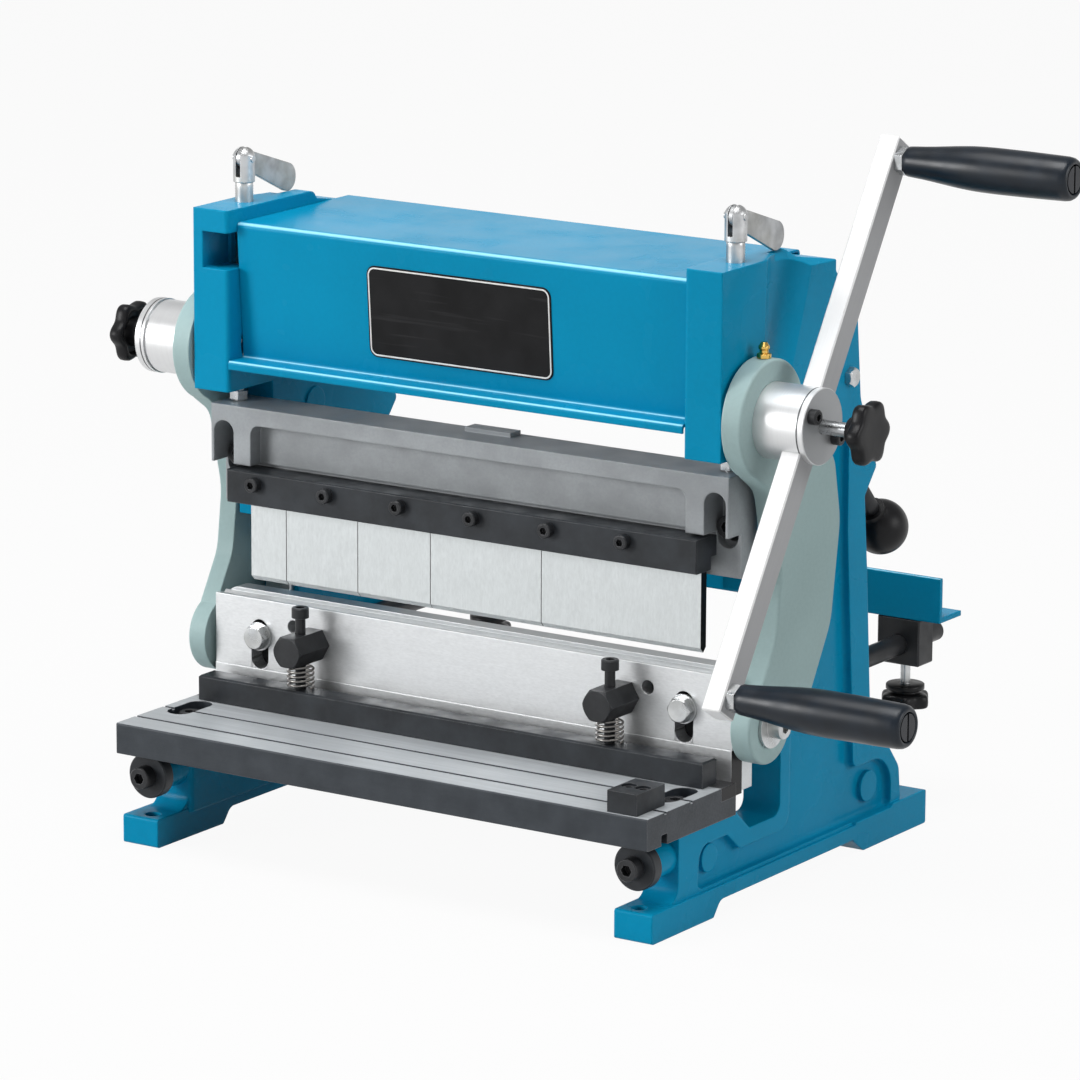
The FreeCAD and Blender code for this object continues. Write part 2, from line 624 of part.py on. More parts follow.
def table():
    h = TABLE_HALF
    z0 = TABLE_SEAT_Z
    z1 = TABLE_TOP
    back = -BLADE_CLEARANCE + DIE_FRONT - BLADE_PROUD
    blade_y = back - FIXED_BLADE_DEPTH
    blade_z = z1 - FIXED_BLADE_HEIGHT
    body = plate([(TABLE_FRONT, z0, 1), (back, z0, 0), (back, blade_z, 0), (blade_y, blade_z, 0),
                  (blade_y, z1, 0), (TABLE_FRONT, z1, 1)], -h, h)
    for y in TABLE_GROOVES:
        body = body.cut(box(-h - 1, h + 1, y - 1.2, y + 1.2, z1 - 1.2, z1 + 1))
    body = body.cut(box(-h - 1, h + 1, TABLE_SLOT_Y, TABLE_SLOT_Y + TABLE_SLOT_WIDTH,
                        z0 - 1, z0 + 6))
    for x in (-XM, XM):
        body = body.cut(slot_z(x, TABLE_SCREW_Y - 9, x, TABLE_SCREW_Y + 9, 15, z0 + 8, z1 + 1))
        body = body.cut(slot_z(x, TABLE_SCREW_Y - 6, x, TABLE_SCREW_Y + 6, SCREW_D + 1, z0 - 1, z0 + 9))
    for x in STOP_SCREWS:
        body = body.cut(rod(x, STOP_Y0 + STOP_LENGTH / 2, z1 - 9, EZ, 2.5, 10))
    # four tapped holes that hold the fixed blade
    for i in range(4):
        x = (i - 1.5) * BLADE_HOLE_PITCH
        body = body.cut(rod(x, blade_y + 7, z0 - 1, EZ, 3, 12))
    keep("shear_table", body)
    keep("fixed_blade", box(-h, h, blade_y, back, blade_z, z1))
    discs = []
    for x in (-XM, XM):
        d = rod(x, SUPPORT_FRONT, SUPPORT_Z, EY, SUPPORT_R, SUPPORT_THICK)
        d = d.makeChamfer(0.8, [d.Edges[0], d.Edges[2]])
        discs.append(d.cut(rod(x, SUPPORT_FRONT - 1, SUPPORT_Z, EY, SCREW_D / 2 + 0.2, 40)))
    keep("support_discs", *discs)


def stop_block():
    b = box(STOP_X0, STOP_X0 + STOP_WIDTH, STOP_Y0, STOP_Y0 + STOP_LENGTH, TABLE_TOP,
            TABLE_TOP + STOP_HEIGHT)
    y = STOP_Y0 + STOP_LENGTH / 2
    for x in STOP_SCREWS:
        b = b.cut(rod(x, y, TABLE_TOP - 1, EZ, 2.7, STOP_HEIGHT + 2))
        b = b.cut(rod(x, y, TABLE_TOP + STOP_HEIGHT - 6, EZ, 4.4, 7))
    keep("stop_block", b)


def stop_screws():
    y = STOP_Y0 + STOP_LENGTH / 2
    s = socket_screw(STOP_HEIGHT - 6 + 8, 5, 8.5, 5, 4)
    return [s.translated(V(x, y, TABLE_TOP + STOP_HEIGHT - 6)) for x in STOP_SCREWS]


# Moving beam

def bending_die():
    y0 = DIE_FRONT
    y1 = BODY_FRONT
    v = FINGER_THICK / 2
    top = DIE_TOP
    pts = [(y0, DIE_BOTTOM, 0), (y1, DIE_BOTTOM, 0), (y1, top, 0), (v + VEE_DEPTH, top, 0),
           (v, top - VEE_DEPTH, 0), (v - VEE_DEPTH, top, 0), (y0, top, 0)]
    die = plate(pts, -DIE_HALF, DIE_HALF)
    for sx in (-1, 1):
        x = sx * DIE_SLOT_X
        low = DIE_BOTTOM - DIE_SLOT_W
        die = die.cut(slot_y(x, low, DIE_SLOT_TOP, DIE_SLOT_W, y0 - 1, y1 + 1))
        die = die.cut(rod(sx * DIE_HOLE_X, y0 - 1, 117, EY, 4, DIE_THICK + 2))
        die = die.cut(rod(sx * HOLD_X, y0 - 1, POST_Z, EY, 5.05, DIE_THICK + 2))
    keep("bending_die", die)


def beam_body():
    h = DIE_HALF
    body = box(-h, h, BODY_FRONT, BODY_BACK, BODY_BOTTOM, BODY_TOP)
    edges = [e for e in body.Edges if abs(e.Vertexes[0].X - e.Vertexes[1].X) < 1e-6
             and abs(e.Vertexes[0].Z - e.Vertexes[1].Z) < 1e-6 and e.Vertexes[0].Z > 100]
    body = body.makeFillet(9, edges)
    for sx in (-1, 1):
        body = body.cut(rod(sx * DIE_SLOT_X, BODY_FRONT - 1, DIE_BOLT_Z, EY, SCREW_D / 2, BODY_THICK + 2))
        body = body.cut(rod(sx * HOLD_X, BODY_FRONT - 1, POST_Z, EY, 5, BODY_THICK + 2))
        body = body.cut(rod(sx * GAUGE_X, BODY_FRONT + 4, GAUGE_Z, EY, GAUGE_ROD_D / 2, BODY_THICK))
        # threaded end bore for the pin of the connecting rod
        body = body.cut(rod(sx * (h - 30), PIN_Y + PIN_SET, PIN_Z, V(sx, 0, 0), PIN_D / 2, 31))
    for i in range(4):
        x = (i - 1.5) * BLADE_HOLE_PITCH
        body = body.cut(rod(x, BODY_FRONT - 1, 79, EY, 3.2, BODY_THICK + 2))
    keep("beam_body", body)


def shear_blade():
    h = DIE_HALF
    y0 = DIE_FRONT - BLADE_PROUD
    top = DIE_BOTTOM
    pts = [V(h, y0, BLADE_LOW), V(h, y0, top), V(-h, y0, top), V(-h, y0, BLADE_LOW + BLADE_RAKE)]
    face = Part.Face(Part.makePolygon(pts + [pts[0]]))
    blade = face.extrude(V(0, BODY_FRONT - y0, 0))
    for i in range(4):
        x = (i - 1.5) * BLADE_HOLE_PITCH
        blade = blade.cut(rod(x, y0 + 3, 79, EY, 3, DIE_THICK + 2))
    keep("shear_blade", blade)


def beam_screws():
    solids = []
    for sx in (-1, 1):
        p = V(sx * DIE_SLOT_X, DIE_FRONT - 1.6, DIE_BOLT_Z)
        solids.append(aim(hex_screw(DIE_THICK + BODY_THICK), p, V(0, -1, 0)))
        w = rod(p.x, DIE_FRONT, p.z, V(0, -1, 0), 8.4, 1.6)
        solids.append(w.cut(rod(p.x, DIE_FRONT + 1, p.z, V(0, -1, 0), SCREW_D / 2 + 0.2, 4)))
    for i in range(4):
        s = socket_screw(BODY_THICK + 6, 6, 10, 6, 5)
        solids.append(aim(s, V((i - 1.5) * BLADE_HOLE_PITCH, BODY_BACK, 79), V(0, 1, 0)))
    keep("beam_screws", *solids)


def guides():
    # shoes behind the beam slide on strips that the frame uprights carry
    shoes = []
    strips = []
    y1 = UPRIGHT_Y - 5
    for sx in (-1, 1):
        x0 = sx * (XM - 9)
        x1 = sx * (XM + 8)
        a = min(x0, x1)
        b = max(x0, x1)
        shoe = box(a, b, BODY_BACK, y1 - SLIDE_FIT, 84, BODY_TOP - 12)
        shoe = shoe.cut(rod(sx * GAUGE_X, BODY_BACK - 1, GAUGE_Z, EY, GAUGE_ROD_D / 2 + 1, 60))
        shoes.append(shoe)
        strips.append(box(a, b, y1, UPRIGHT_Y, 78, THROAT_TOP - 34))
    keep("guide_shoes", *shoes)
    keep("guide_strips", *strips)


def hold_down():
    y = HOLD_SCREW_Y
    posts = []
    screws = []
    post_low = POST_Z - POST_AF / 2
    head0 = HOLD_HEAD_Z - HOLD_HEAD_H
    bar = box(-HOLD_BAR_HALF, HOLD_BAR_HALF, HOLD_BAR_FRONT, HOLD_BAR_FRONT + HOLD_BAR_WIDTH,
              HOLD_BAR_Z, HOLD_BAR_Z + HOLD_BAR_HEIGHT)
    bar = bar.makeChamfer(1.0, [e for e in bar.Edges if e.Vertexes[0].Z > 80 and e.Vertexes[1].Z > 80])
    for sx in (-1, 1):
        x = sx * HOLD_X
        head = prism(6, POST_AF, DIE_FRONT - POST_FRONT)
        cone = Part.makeCone(POST_AF * 0.5, POST_AF * 0.5 + 40, 40)
        head = head.common(cone)
        stud = Part.makeCylinder(5, DIE_THICK + BODY_THICK, V(0, 0, DIE_FRONT - POST_FRONT))
        post = aim(fuse(head, stud), V(x, POST_FRONT, POST_Z), EY)
        post = post.cut(rod(x, y, post_low - 1, EZ, HOLD_SCREW_D / 2 + 0.2, POST_AF + 2))
        posts.append(post)
        bar = bar.cut(rod(x, y, HOLD_BAR_Z + 3, EZ, HOLD_SCREW_D / 2, 20))
        s = socket_screw(head0 - HOLD_BAR_Z - 3, HOLD_SCREW_D, HOLD_HEAD_D, HOLD_HEAD_H, 5)
        screws.append(s.translated(V(x, y, head0)))
    keep("hold_down_posts", *posts)
    keep("hold_down_bar", bar)
    keep("hold_down_screws", *screws)
    z0 = HOLD_BAR_Z + HOLD_BAR_HEIGHT + SPRING_WIRE / 2 + 0.05
    z1 = post_low - SPRING_WIRE / 2 - 0.05
    for name, x in (("spring_left", -HOLD_X), ("spring_right", HOLD_X)):
        keep(name, spring(x, y, z0, z1))


def spring(x, y, z0, z1):
    # open compression spring: one tube on quarter-turn arcs
    r = (SPRING_D - SPRING_WIRE) / 2
    n = SPRING_TURNS * 4
    rise = (z1 - z0) / n
    edges = []

    def at(k):
        a = math.pi / 2 * k
        return V(x + r * math.cos(a), y + r * math.sin(a), z0 + rise * k)

    for k in range(n):
        edges.append(Part.Arc(at(k), at(k + 0.5), at(k + 1)).toShape())
    path = Part.Wire(edges)
    start = edges[0].tangentAt(edges[0].FirstParameter)
    profile = Part.Wire([Part.Circle(at(0), start, SPRING_WIRE / 2).toShape()])
    tube = path.makePipeShell([profile], True, False)
    gap = rise * 4 * math.cos(math.atan(rise * 4 / (2 * math.pi * r))) - SPRING_WIRE
    print("spring gap between turns", round(gap, 3))
    return tube


# Back gauge

def back_gauge():
    rods = []
    blocks = []
    for sx in (-1, 1):
        x = sx * GAUGE_X
        rods.append(rod(x, BODY_FRONT + 4, GAUGE_Z, EY, GAUGE_ROD_D / 2, GAUGE_ROD_END - BODY_FRONT - 4))
        z0 = GAUGE_Z - GAUGE_BLOCK_DROP
        b = box(x - GAUGE_BLOCK_W / 2, x + GAUGE_BLOCK_W / 2, GAUGE_Y, GAUGE_Y + GAUGE_BLOCK_DEPTH,
                z0, z0 + GAUGE_BLOCK_W)
        b = b.makeChamfer(0.8, b.Edges)
        b = b.cut(rod(x, GAUGE_Y - 1, GAUGE_Z, EY, GAUGE_ROD_D / 2 + RUN_FIT, GAUGE_BLOCK_DEPTH + 2))
        b = b.cut(rod(x, GAUGE_Y + GAUGE_BLOCK_DEPTH / 2, z0 - 1, EZ, 3 + RUN_FIT, 13))
        blocks.append(b)
        yk = GAUGE_Y + GAUGE_BLOCK_DEPTH / 2
        top = GAUGE_Z - GAUGE_ROD_D / 2 - 0.1
        stud = rod(x, yk, z0 - 13, EZ, 3, top - z0 + 13)
        knob = star(LOCK_D, LOCK_THICK, STAR_LOBES).translated(V(x, yk, z0 - LOCK_DROP))
        flange = rod(x, yk, z0 - 16, EZ, 11.3, 3.0)
        keep("gauge_lock_" + ("left" if sx < 0 else "right"), fuse(knob, flange), stud)
    keep("gauge_rods", *rods)
    keep("gauge_blocks", *blocks)
    z = GAUGE_Z - GAUGE_BLOCK_DROP + GAUGE_BLOCK_W
    t = GAUGE_SHEET
    leg = GAUGE_LEG
    pts = [(GAUGE_Y, z, 0), (GAUGE_Y + leg, z, 0), (GAUGE_Y + leg, z + t, 0), (GAUGE_Y + t, z + t, 2),
           (GAUGE_Y + t, z + leg + 1.7, 1), (GAUGE_Y, z + leg + 1.7, 1)]
    keep("gauge_angle", plate(pts, -GAUGE_HALF, GAUGE_HALF))


def star(diameter, thick, lobes):
    # lobed grip with hollows between the lobes, drawn from z = 0 up
    r = diameter / 2
    lobe = r * 0.26
    body = Part.makeCylinder(r - lobe, thick)
    for i in range(lobes):
        a = 2 * math.pi * i / lobes
        p = V((r - lobe) * math.cos(a), (r - lobe) * math.sin(a), 0)
        body = body.fuse(Part.makeCylinder(lobe, thick, p))
    for i in range(lobes):
        a = 2 * math.pi * (i + 0.5) / lobes
        p = V((r - lobe * 0.2) * math.cos(a), (r - lobe * 0.2) * math.sin(a), -1)
        body = body.cut(Part.makeCylinder(lobe * 0.85, thick + 2, p))
    bevel = 1.5
    body = body.common(Part.makeCone(r - bevel + thick, r - bevel, thick))
    return body.common(Part.makeCone(r - bevel, r - bevel + thick, thick)).removeSplitter()


# Drive: shaft with lower roll, gears, hubs, connecting rods

def gear(phase):
    # straight-sided teeth, drawn from z = 0 up
    m = GEAR_MODULE
    n = GEAR_TEETH
    rp = m * n / 2
    ro = rp + m * 0.9
    ri = rp - m * 1.2
    pts = []
    for i in range(n):
        for da, r in ((-0.31, ri), (-0.235, rp), (-0.11, ro), (0.11, ro), (0.235, rp), (0.31, ri)):
            a = 2 * math.pi * (i + da + phase) / n
            pts.append(V(r * math.cos(a), r * math.sin(a), 0))
    pts.append(pts[0])
    return Part.Face(Part.makePolygon(pts)).extrude(V(0, 0, GEAR_WIDTH))


def rolls():
    r = ROLL_D / 2
    half = XI - 0.5
    end = HUB_OUT - CRANK_THICK - 1
    s = rod(-half, SHAFT_Y, SHAFT_Z, EX, r, 2 * half)
    s = s.fuse(rod(-HUB_OUT + 4, SHAFT_Y, SHAFT_Z, EX, SHAFT_D / 2, end + HUB_OUT - 4))
    keep("lower_roll", s.removeSplitter())
    gx = -XI - GEAR_SIDE_GAP - GEAR_WIDTH
    up = V(0, UPPER_Y - SHAFT_Y, UPPER_Z - SHAFT_Z)
    for name, y, z, k, bore in (("lower_gear", SHAFT_Y, SHAFT_Z, 0.0, SHAFT_D / 2),
                                ("upper_gear", UPPER_Y, UPPER_Z, 0.5, JOURNAL_D / 2)):
        g = aim(gear(0), V(0, 0, 0), EX)
        # a tooth of the lower gear points at a space of the upper one
        ang = math.degrees(math.atan2(up.z, up.y))
        g = turn(g, V(0, 0, 0), EX, ang + 360.0 / GEAR_TEETH * k + tooth_zero())
        if name == "upper_gear":
            g = turn(g, V(0, 0, 0), EX, 180)
        g = g.translated(V(gx, y, z))
        keep(name, g.cut(rod(gx - 1, y, z, EX, bore, GEAR_WIDTH + 2)))
    u = rod(-half, UPPER_Y, UPPER_Z, EX, r, 2 * half)
    tip = BLOCK_X
    u = u.fuse(rod(-XI - tip, UPPER_Y, UPPER_Z, EX, JOURNAL_D / 2, 2 * (XI + tip)))
    keep("upper_roll", u.removeSplitter())
    q = rod(-half, REAR_ROLL_Y, REAR_ROLL_Z, EX, r, 2 * half)
    q = q.fuse(rod(-XI - tip, REAR_ROLL_Y, REAR_ROLL_Z, EX, JOURNAL_D / 2, 2 * (XI + tip)))
    keep("rear_roll", q.removeSplitter())


def tooth_zero():
    # angle at which tooth number 0 lies after the gear is laid along X
    g = aim(Part.makeSphere(1, V(10, 0, 0)), V(0, 0, 0), EX).CenterOfMass
    return -math.degrees(math.atan2(g.z, g.y))


def roll_blocks():
    w = BLOCK_SIZE / 2
    a = rear_axis()
    ang = math.degrees(math.atan2(a.z, a.y)) - 90
    up = []
    back = []
    for sx in (-1, 1):
        inner = XI + (GEAR_WIDTH + 2 * GEAR_SIDE_GAP if sx < 0 else 0.4)
        x0 = min(sx * inner, sx * (XI + BLOCK_X))
        x1 = max(sx * inner, sx * (XI + BLOCK_X))
        b = box(x0, x1, UPPER_Y - w, UPPER_Y + w, UPPER_Z - w, UPPER_Z + w)
        b = b.cut(rod(x0 - 1, UPPER_Y, UPPER_Z, EX, JOURNAL_D / 2 + RUN_FIT, 40))
        up.append(b)
        x0 = min(sx * (XI + 0.4), sx * (XI + BLOCK_X))
        x1 = max(sx * (XI + 0.4), sx * (XI + BLOCK_X))
        c = box(x0, x1, -w, w, -w, w)
        c = turn(c, V(0, 0, 0), EX, ang).translated(V(0, REAR_ROLL_Y, REAR_ROLL_Z))
        back.append(c.cut(rod(x0 - 1, REAR_ROLL_Y, REAR_ROLL_Z, EX, JOURNAL_D / 2 + RUN_FIT, 40)))
    keep("upper_roll_blocks", *up)
    keep("rear_roll_blocks", *back)


def hubs():
    for sx, name in ((1, "hub_right"), (-1, "hub_left")):
        d = V(sx, 0, 0)
        x0 = sx * (XO + 0.5)
        h = rod(x0, SHAFT_Y, HUB_Z, d, HUB_D / 2, HUB_REACH - 0.5)
        if sx < 0:
            h = h.fuse(rod(-HUB_OUT, SHAFT_Y, HUB_Z, d, HUB_D / 2 - 1.2, 1.2))
            h = h.fuse(rod(-HUB_OUT - 1.2, SHAFT_Y, HUB_Z, d, HUB_D / 2 + 0.6, 6.0))
            depth = HUB_REACH - 4
        else:
            # the crank bar lies in a slot across the end
            b = crank_blank(CRANK_WIDTH + 0.1, HUB_D, HUB_OUT - CRANK_THICK, HUB_OUT + 1)
            h = h.cut(b)
            depth = HUB_REACH - CRANK_THICK - 1
        h = h.cut(rod(sx * (XO - 1), SHAFT_Y, SHAFT_Z, d, SHAFT_D / 2, depth + 1))
        end = HUB_OUT + (4.8 if sx < 0 else 0)
        if sx < 0:
            h = h.cut(rod(sx * (end - 9), SHAFT_Y, HUB_Z, d, STAR_STUD_D / 2 + RUN_FIT, 12))
        keep(name, h)
    disc = rod(HUB_OUT, SHAFT_Y, HUB_Z, EX, HUB_D / 2, DISC_THICK)
    disc = disc.makeChamfer(0.4, [disc.Edges[0]])
    screws = []
    for k in (-1, 1):
        a = math.radians(CRANK_ANGLE)
        y = SHAFT_Y - k * 14.5 * math.cos(a)
        z = HUB_Z + k * 14.5 * math.sin(a)
        disc = disc.cut(rod(HUB_OUT - 1, y, z, EX, 2.6, 8))
        s = socket_screw(12, 5, 8.5, 5, 4)
        screws.append(aim(s, V(HUB_OUT + DISC_THICK, y, z), EX))
    disc = disc.cut(rod(HUB_OUT - 1, SHAFT_Y, HUB_Z, EX, STAR_STUD_D / 2 + RUN_FIT, 8))
    hub = PARTS["hub_right"]
    for k in (-1, 1):
        a = math.radians(CRANK_ANGLE)
        y = SHAFT_Y - k * 14.5 * math.cos(a)
        z = HUB_Z + k * 14.5 * math.sin(a)
        hub = hub.cut(rod(HUB_OUT - 9.5, y, z, EX, 2.5, 12))
    PARTS["hub_right"] = hub
    keep("hub_disc", disc)
    keep("hub_screws", *screws)


def crank_blank(width, length, x0, x1):
    # bar across the hub, leaning back at the top by the crank angle
    b = box(x0, x1, -width / 2, width / 2, -length, length)
    return turn(b, V(0, 0, 0), EX, -CRANK_ANGLE).translated(V(0, SHAFT_Y, HUB_Z))


def crank():
    x0 = HUB_OUT - CRANK_THICK
    bar = crank_blank(CRANK_WIDTH, CRANK_THROW + CRANK_END, x0, HUB_OUT)
    bar = bar.makeChamfer(0.8, bar.Edges)
    bar = bar.cut(rod(x0 - 1, SHAFT_Y, HUB_Z, EX, STAR_STUD_D / 2 + RUN_FIT, CRANK_THICK + 2))
    a = math.radians(CRANK_ANGLE)
    spindles = []
    for k, name in ((1, "grip_upper"), (-1, "grip_lower")):
        y = SHAFT_Y + k * CRANK_THROW * math.sin(a)
        z = HUB_Z + k * CRANK_THROW * math.cos(a)
        bar = bar.cut(rod(x0 - 1, y, z, EX, SPINDLE_D / 2, CRANK_THICK + 2))
        p = V(HUB_OUT, y, z)
        ferrule = aim(prism(6, 14, 5), p, EX)
        shaft = rod(x0, y, z, EX, SPINDLE_D / 2, CRANK_THICK + 6 + GRIP_LENGTH - 3)
        head = rod(HUB_OUT + 6 + GRIP_LENGTH - 4, y, z, EX, 7.5, 3)
        head = head.cut(box(HUB_OUT + 6 + GRIP_LENGTH - 2.2, 400, y - 0.8, y + 0.8, z - 9, z + 9))
        spindles.append(fuse(ferrule, shaft, head))
        keep(name, aim(grip(), V(HUB_OUT + 5.3, y, z), EX))
    keep("crank_bar", bar)
    keep("grip_spindles", *spindles)


def grip():
    # turned grip: small collar, swelling to a full end with a rounded rim
    L = GRIP_LENGTH
    r0 = GRIP_SMALL_D / 2
    r1 = GRIP_LARGE_D / 2
    edges = []

    def line(a, b):
        edges.append(Part.makeLine(V(a[0], 0, a[1]), V(b[0], 0, b[1])))

    def arc(a, m, b):
        edges.append(Part.Arc(V(a[0], 0, a[1]), V(m[0], 0, m[1]), V(b[0], 0, b[1])).toShape())

    bore = SPINDLE_D / 2 + RUN_FIT
    line((bore, 0), (r0 - 1, 0))
    arc((r0 - 1, 0), (r0 - 0.3, 0.3), (r0, 1))
    arc((r0, 1), (r0 + (r1 - r0) * 0.62, L * 0.5), (r1, L - 12))
    arc((r1, L - 12), (r1 - 0.3, L - 6), (r1 - 1.6, L - 2))
    arc((r1 - 1.6, L - 2), (r1 - 2.2, L - 0.6), (r1 - 3.4, L))
    line((r1 - 3.4, L), (8, L))
    line((8, L), (8, L - 4.4))
    line((8, L - 4.4), (bore, L - 4.4))
    line((bore, L - 4.4), (bore, 0))
    return Part.Face(Part.Wire(edges)).revolve(V(0, 0, 0), EZ, 360)


def con_rods():
    py = PIN_Y + PIN_SET
    body = [(2, 262, 0), (-8, 246, 6), (11, 233, 16), (22, 186, 40), (17.5, 150, 30), (0, 120, 10),
            (py - 6, PIN_Z, 0), (py + 6, PIN_Z - 12, 0), (54, 110, 22), (76, 148, 40), (84.5, 205, 45),
            (77, 243, 18), (38, 268, 8), (20, 280, 0)]
    for sx, name in ((1, "con_rod_right"), (-1, "con_rod_left")):
        r = plate(body, ROD_X, ROD_OUT)
        r = r.fuse(rod(ROD_X, SHAFT_Y, HUB_Z, EX, ROD_EYE_R, ROD_THICK))
        r = r.fuse(rod(ROD_X, py, PIN_Z, EX, ROD_FOOT_R, ROD_THICK)).removeSplitter()
        edge = [e for e in r.Edges if all(abs(v.X - ROD_OUT) < 1e-6 for v in e.Vertexes)]
        r = r.makeFillet(1.5, edge)
        r = r.cut(rod(ROD_X - 1, SHAFT_Y, HUB_Z, EX, HUB_D / 2 + RUN_FIT, ROD_THICK + 2))
        r = r.cut(rod(ROD_X - 1, py, PIN_Z, EX, PIN_D / 2 + ECCENTRICITY + 0.4, ROD_THICK + 2))
        r = r.cut(rod(XO + ROD_GAP + ROD_THICK / 2, SHAFT_Y, HUB_Z + HUB_D / 2, EZ, 1.5, 20))
        keep(name, r if sx > 0 else mirror(r))
        z = HUB_Z + ROD_EYE_R
        n = revolve([(0, -6), (1.5, -6), (1.5, 0.1), (4, 0.1), (4, 2.4), (2.4, 3.2), (2.4, 4.6), (3.1, 5.4),
                     (3.1, 6.6), (1.6, 8.8), (0, 8.8)])
        n = n.translated(V(sx * (ROD_X + ROD_THICK / 2), SHAFT_Y, z))
        keep("grease_nipple_" + ("right" if sx > 0 else "left"), n)
    pins = []
    for sx in (1, -1):
        d = V(sx, 0, 0)
        x = sx * (ROD_OUT + 0.1)
        w = rod(x, py, PIN_Z, d, 12.5, 2).cut(rod(x - sx, py, PIN_Z, d, PIN_D / 2, 5))
        s = aim(socket_screw(ROD_OUT + 2.1 - DIE_HALF + PIN_THREAD), V(sx * (ROD_OUT + 2.1), py, PIN_Z), d)
        pins += [w, s]
    keep("pivot_pins", *pins)


def star_knobs():
    for sx, name, start in ((1, "star_knob_right", HUB_OUT - CRANK_THICK),
                            (-1, "star_knob_left", HUB_OUT - 4)):
        d = V(sx, 0, 0)
        k = aim(star(STAR_D, STAR_THICK, STAR_LOBES), V(sx * STAR_X, SHAFT_Y, HUB_Z), d)
        neck = rod(sx * (STAR_X - (4 if sx > 0 else 15)), SHAFT_Y, HUB_Z, d, 8.5, 6 if sx > 0 else 17)
        k = k.fuse(neck).removeSplitter()
        bore = rod(sx * (STAR_X - 20), SHAFT_Y, HUB_Z, d, STAR_STUD_D / 2, 28)
        stud = rod(sx * start, SHAFT_Y, HUB_Z, d, STAR_STUD_D / 2, STAR_X + 8 - start)
        keep(name, k.cut(bore), stud)


def top_screws():
    z0 = UPPER_Z + BLOCK_SIZE / 2
    fork0 = FORK_TOP - 20
    pin_z = FORK_TOP - 6.5
    for sx, side in ((-1, "left"), (1, "right")):
        x = sx * XM
        s = rod(x, UPPER_Y, z0, EZ, ADJUST_D / 2, fork0 - z0 + 1)
        f = rod(x, UPPER_Y, fork0, EZ, FORK_D / 2, FORK_TOP - fork0)
        dome = Part.makeSphere(FORK_TOP - pin_z, V(x, UPPER_Y, pin_z))
        f = f.common(dome.fuse(box(x - 10, x + 10, UPPER_Y - 8, UPPER_Y + 8, fork0, pin_z)))
        f = f.cut(box(x - 1.6, x + 1.6, UPPER_Y - 9, UPPER_Y + 9, fork0 + 3, FORK_TOP + 1))
        f = f.cut(rod(x - 10, UPPER_Y, pin_z, EX, 2.0, 20))
        reach = FORK_D / 2 + 0.6
        pin = rod(x - reach, UPPER_Y, pin_z, EX, 2.0, 2 * reach)
        keep("top_screw_" + side, fuse(s, f), pin)
        out = [(-1.5, 5.6, 0), (-1.5, -5.6, 0), (48.3, -29.2, 7.6), (48.3, -10.6, 8.2)]
        p = fuse(plate(out, x - 1.3, x + 1.3), rod(x - 1.3, 0, 0, EX, 5.8, 2.6))
        p = p.translated(V(0, UPPER_Y, pin_z))
        keep("paddle_" + side, p.cut(rod(x - 5, UPPER_Y, pin_z, EX, 2.0 + RUN_FIT, 10)))


def rear_screws():
    a = rear_axis()
    tip = V(0, REAR_ROLL_Y, REAR_ROLL_Z) - a * (BLOCK_SIZE / 2)
    ball = LUG - a * BALL_FROM_LUG
    length = (tip - ball).Length
    for sx, side in ((-1, "left"), (1, "right")):
        c = V(sx * XM, ball.y, ball.z)
        keep("rear_screw_" + side, Part.makeCylinder(ADJUST_D / 2, length, c, a))
        b = Part.makeSphere(BALL_D / 2, c)
        b = b.fuse(Part.makeCylinder(8, BALL_D / 2 + 1.0, c, a)).removeSplitter()
        b = b.cut(Part.makeCylinder(ADJUST_D / 2, BALL_D, c, a))
        keep("ball_knob_" + side, b)


def build():
    frames()
    tie_bars()
    hood()
    finger_beam()
    fingers()
    clamp_bar()
    fixed_screws()
    table()
    stop_block()
    bending_die()
    beam_body()
    shear_blade()
    beam_screws()
    guides()
    hold_down()
    back_gauge()
    rolls()
    roll_blocks()
    hubs()
    crank()
    con_rods()
    star_knobs()
    top_screws()
    rear_screws()


build()
os.makedirs("parts", exist_ok=True)
for name, shape in PARTS.items():
    s = shape.translated(V(0, BEND_Y, 0))
    if not s.isValid() or s.Volume <= 0:
        print("check the solid of", name)
    s.exportStep("parts/" + name + ".step")
print(len(PARTS), "sub-parts")
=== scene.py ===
import math

import bmesh
import bpy
from mathutils import Matrix, Vector


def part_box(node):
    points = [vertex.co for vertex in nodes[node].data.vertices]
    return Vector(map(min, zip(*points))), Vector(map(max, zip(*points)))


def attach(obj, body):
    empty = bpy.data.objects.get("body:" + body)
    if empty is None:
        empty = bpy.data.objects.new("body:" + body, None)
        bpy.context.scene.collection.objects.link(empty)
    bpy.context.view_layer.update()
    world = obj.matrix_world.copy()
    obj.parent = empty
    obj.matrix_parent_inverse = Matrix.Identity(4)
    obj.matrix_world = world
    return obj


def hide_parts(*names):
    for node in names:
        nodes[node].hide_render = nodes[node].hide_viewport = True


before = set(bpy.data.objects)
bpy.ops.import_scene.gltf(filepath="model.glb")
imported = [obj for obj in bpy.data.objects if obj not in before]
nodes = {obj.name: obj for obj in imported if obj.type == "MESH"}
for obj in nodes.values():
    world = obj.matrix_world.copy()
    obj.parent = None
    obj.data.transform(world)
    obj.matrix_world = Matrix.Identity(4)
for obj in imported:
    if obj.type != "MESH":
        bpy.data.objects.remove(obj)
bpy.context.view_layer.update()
scene = bpy.context.scene

# Camera, fitted to the photo: its focal length is known in pixels of the photo
AIM = Vector((0.04648, -0.055, 0.18997))
FORWARD = Vector((-0.5369, 0.8121, -0.2285)).normalized()
DISTANCE = 3.3671
ROLL = math.radians(0.25)
SENSOR_WIDTH = 36.0
FOCAL_PIXELS = 6056.5
PHOTO_PIXELS = 1080.0


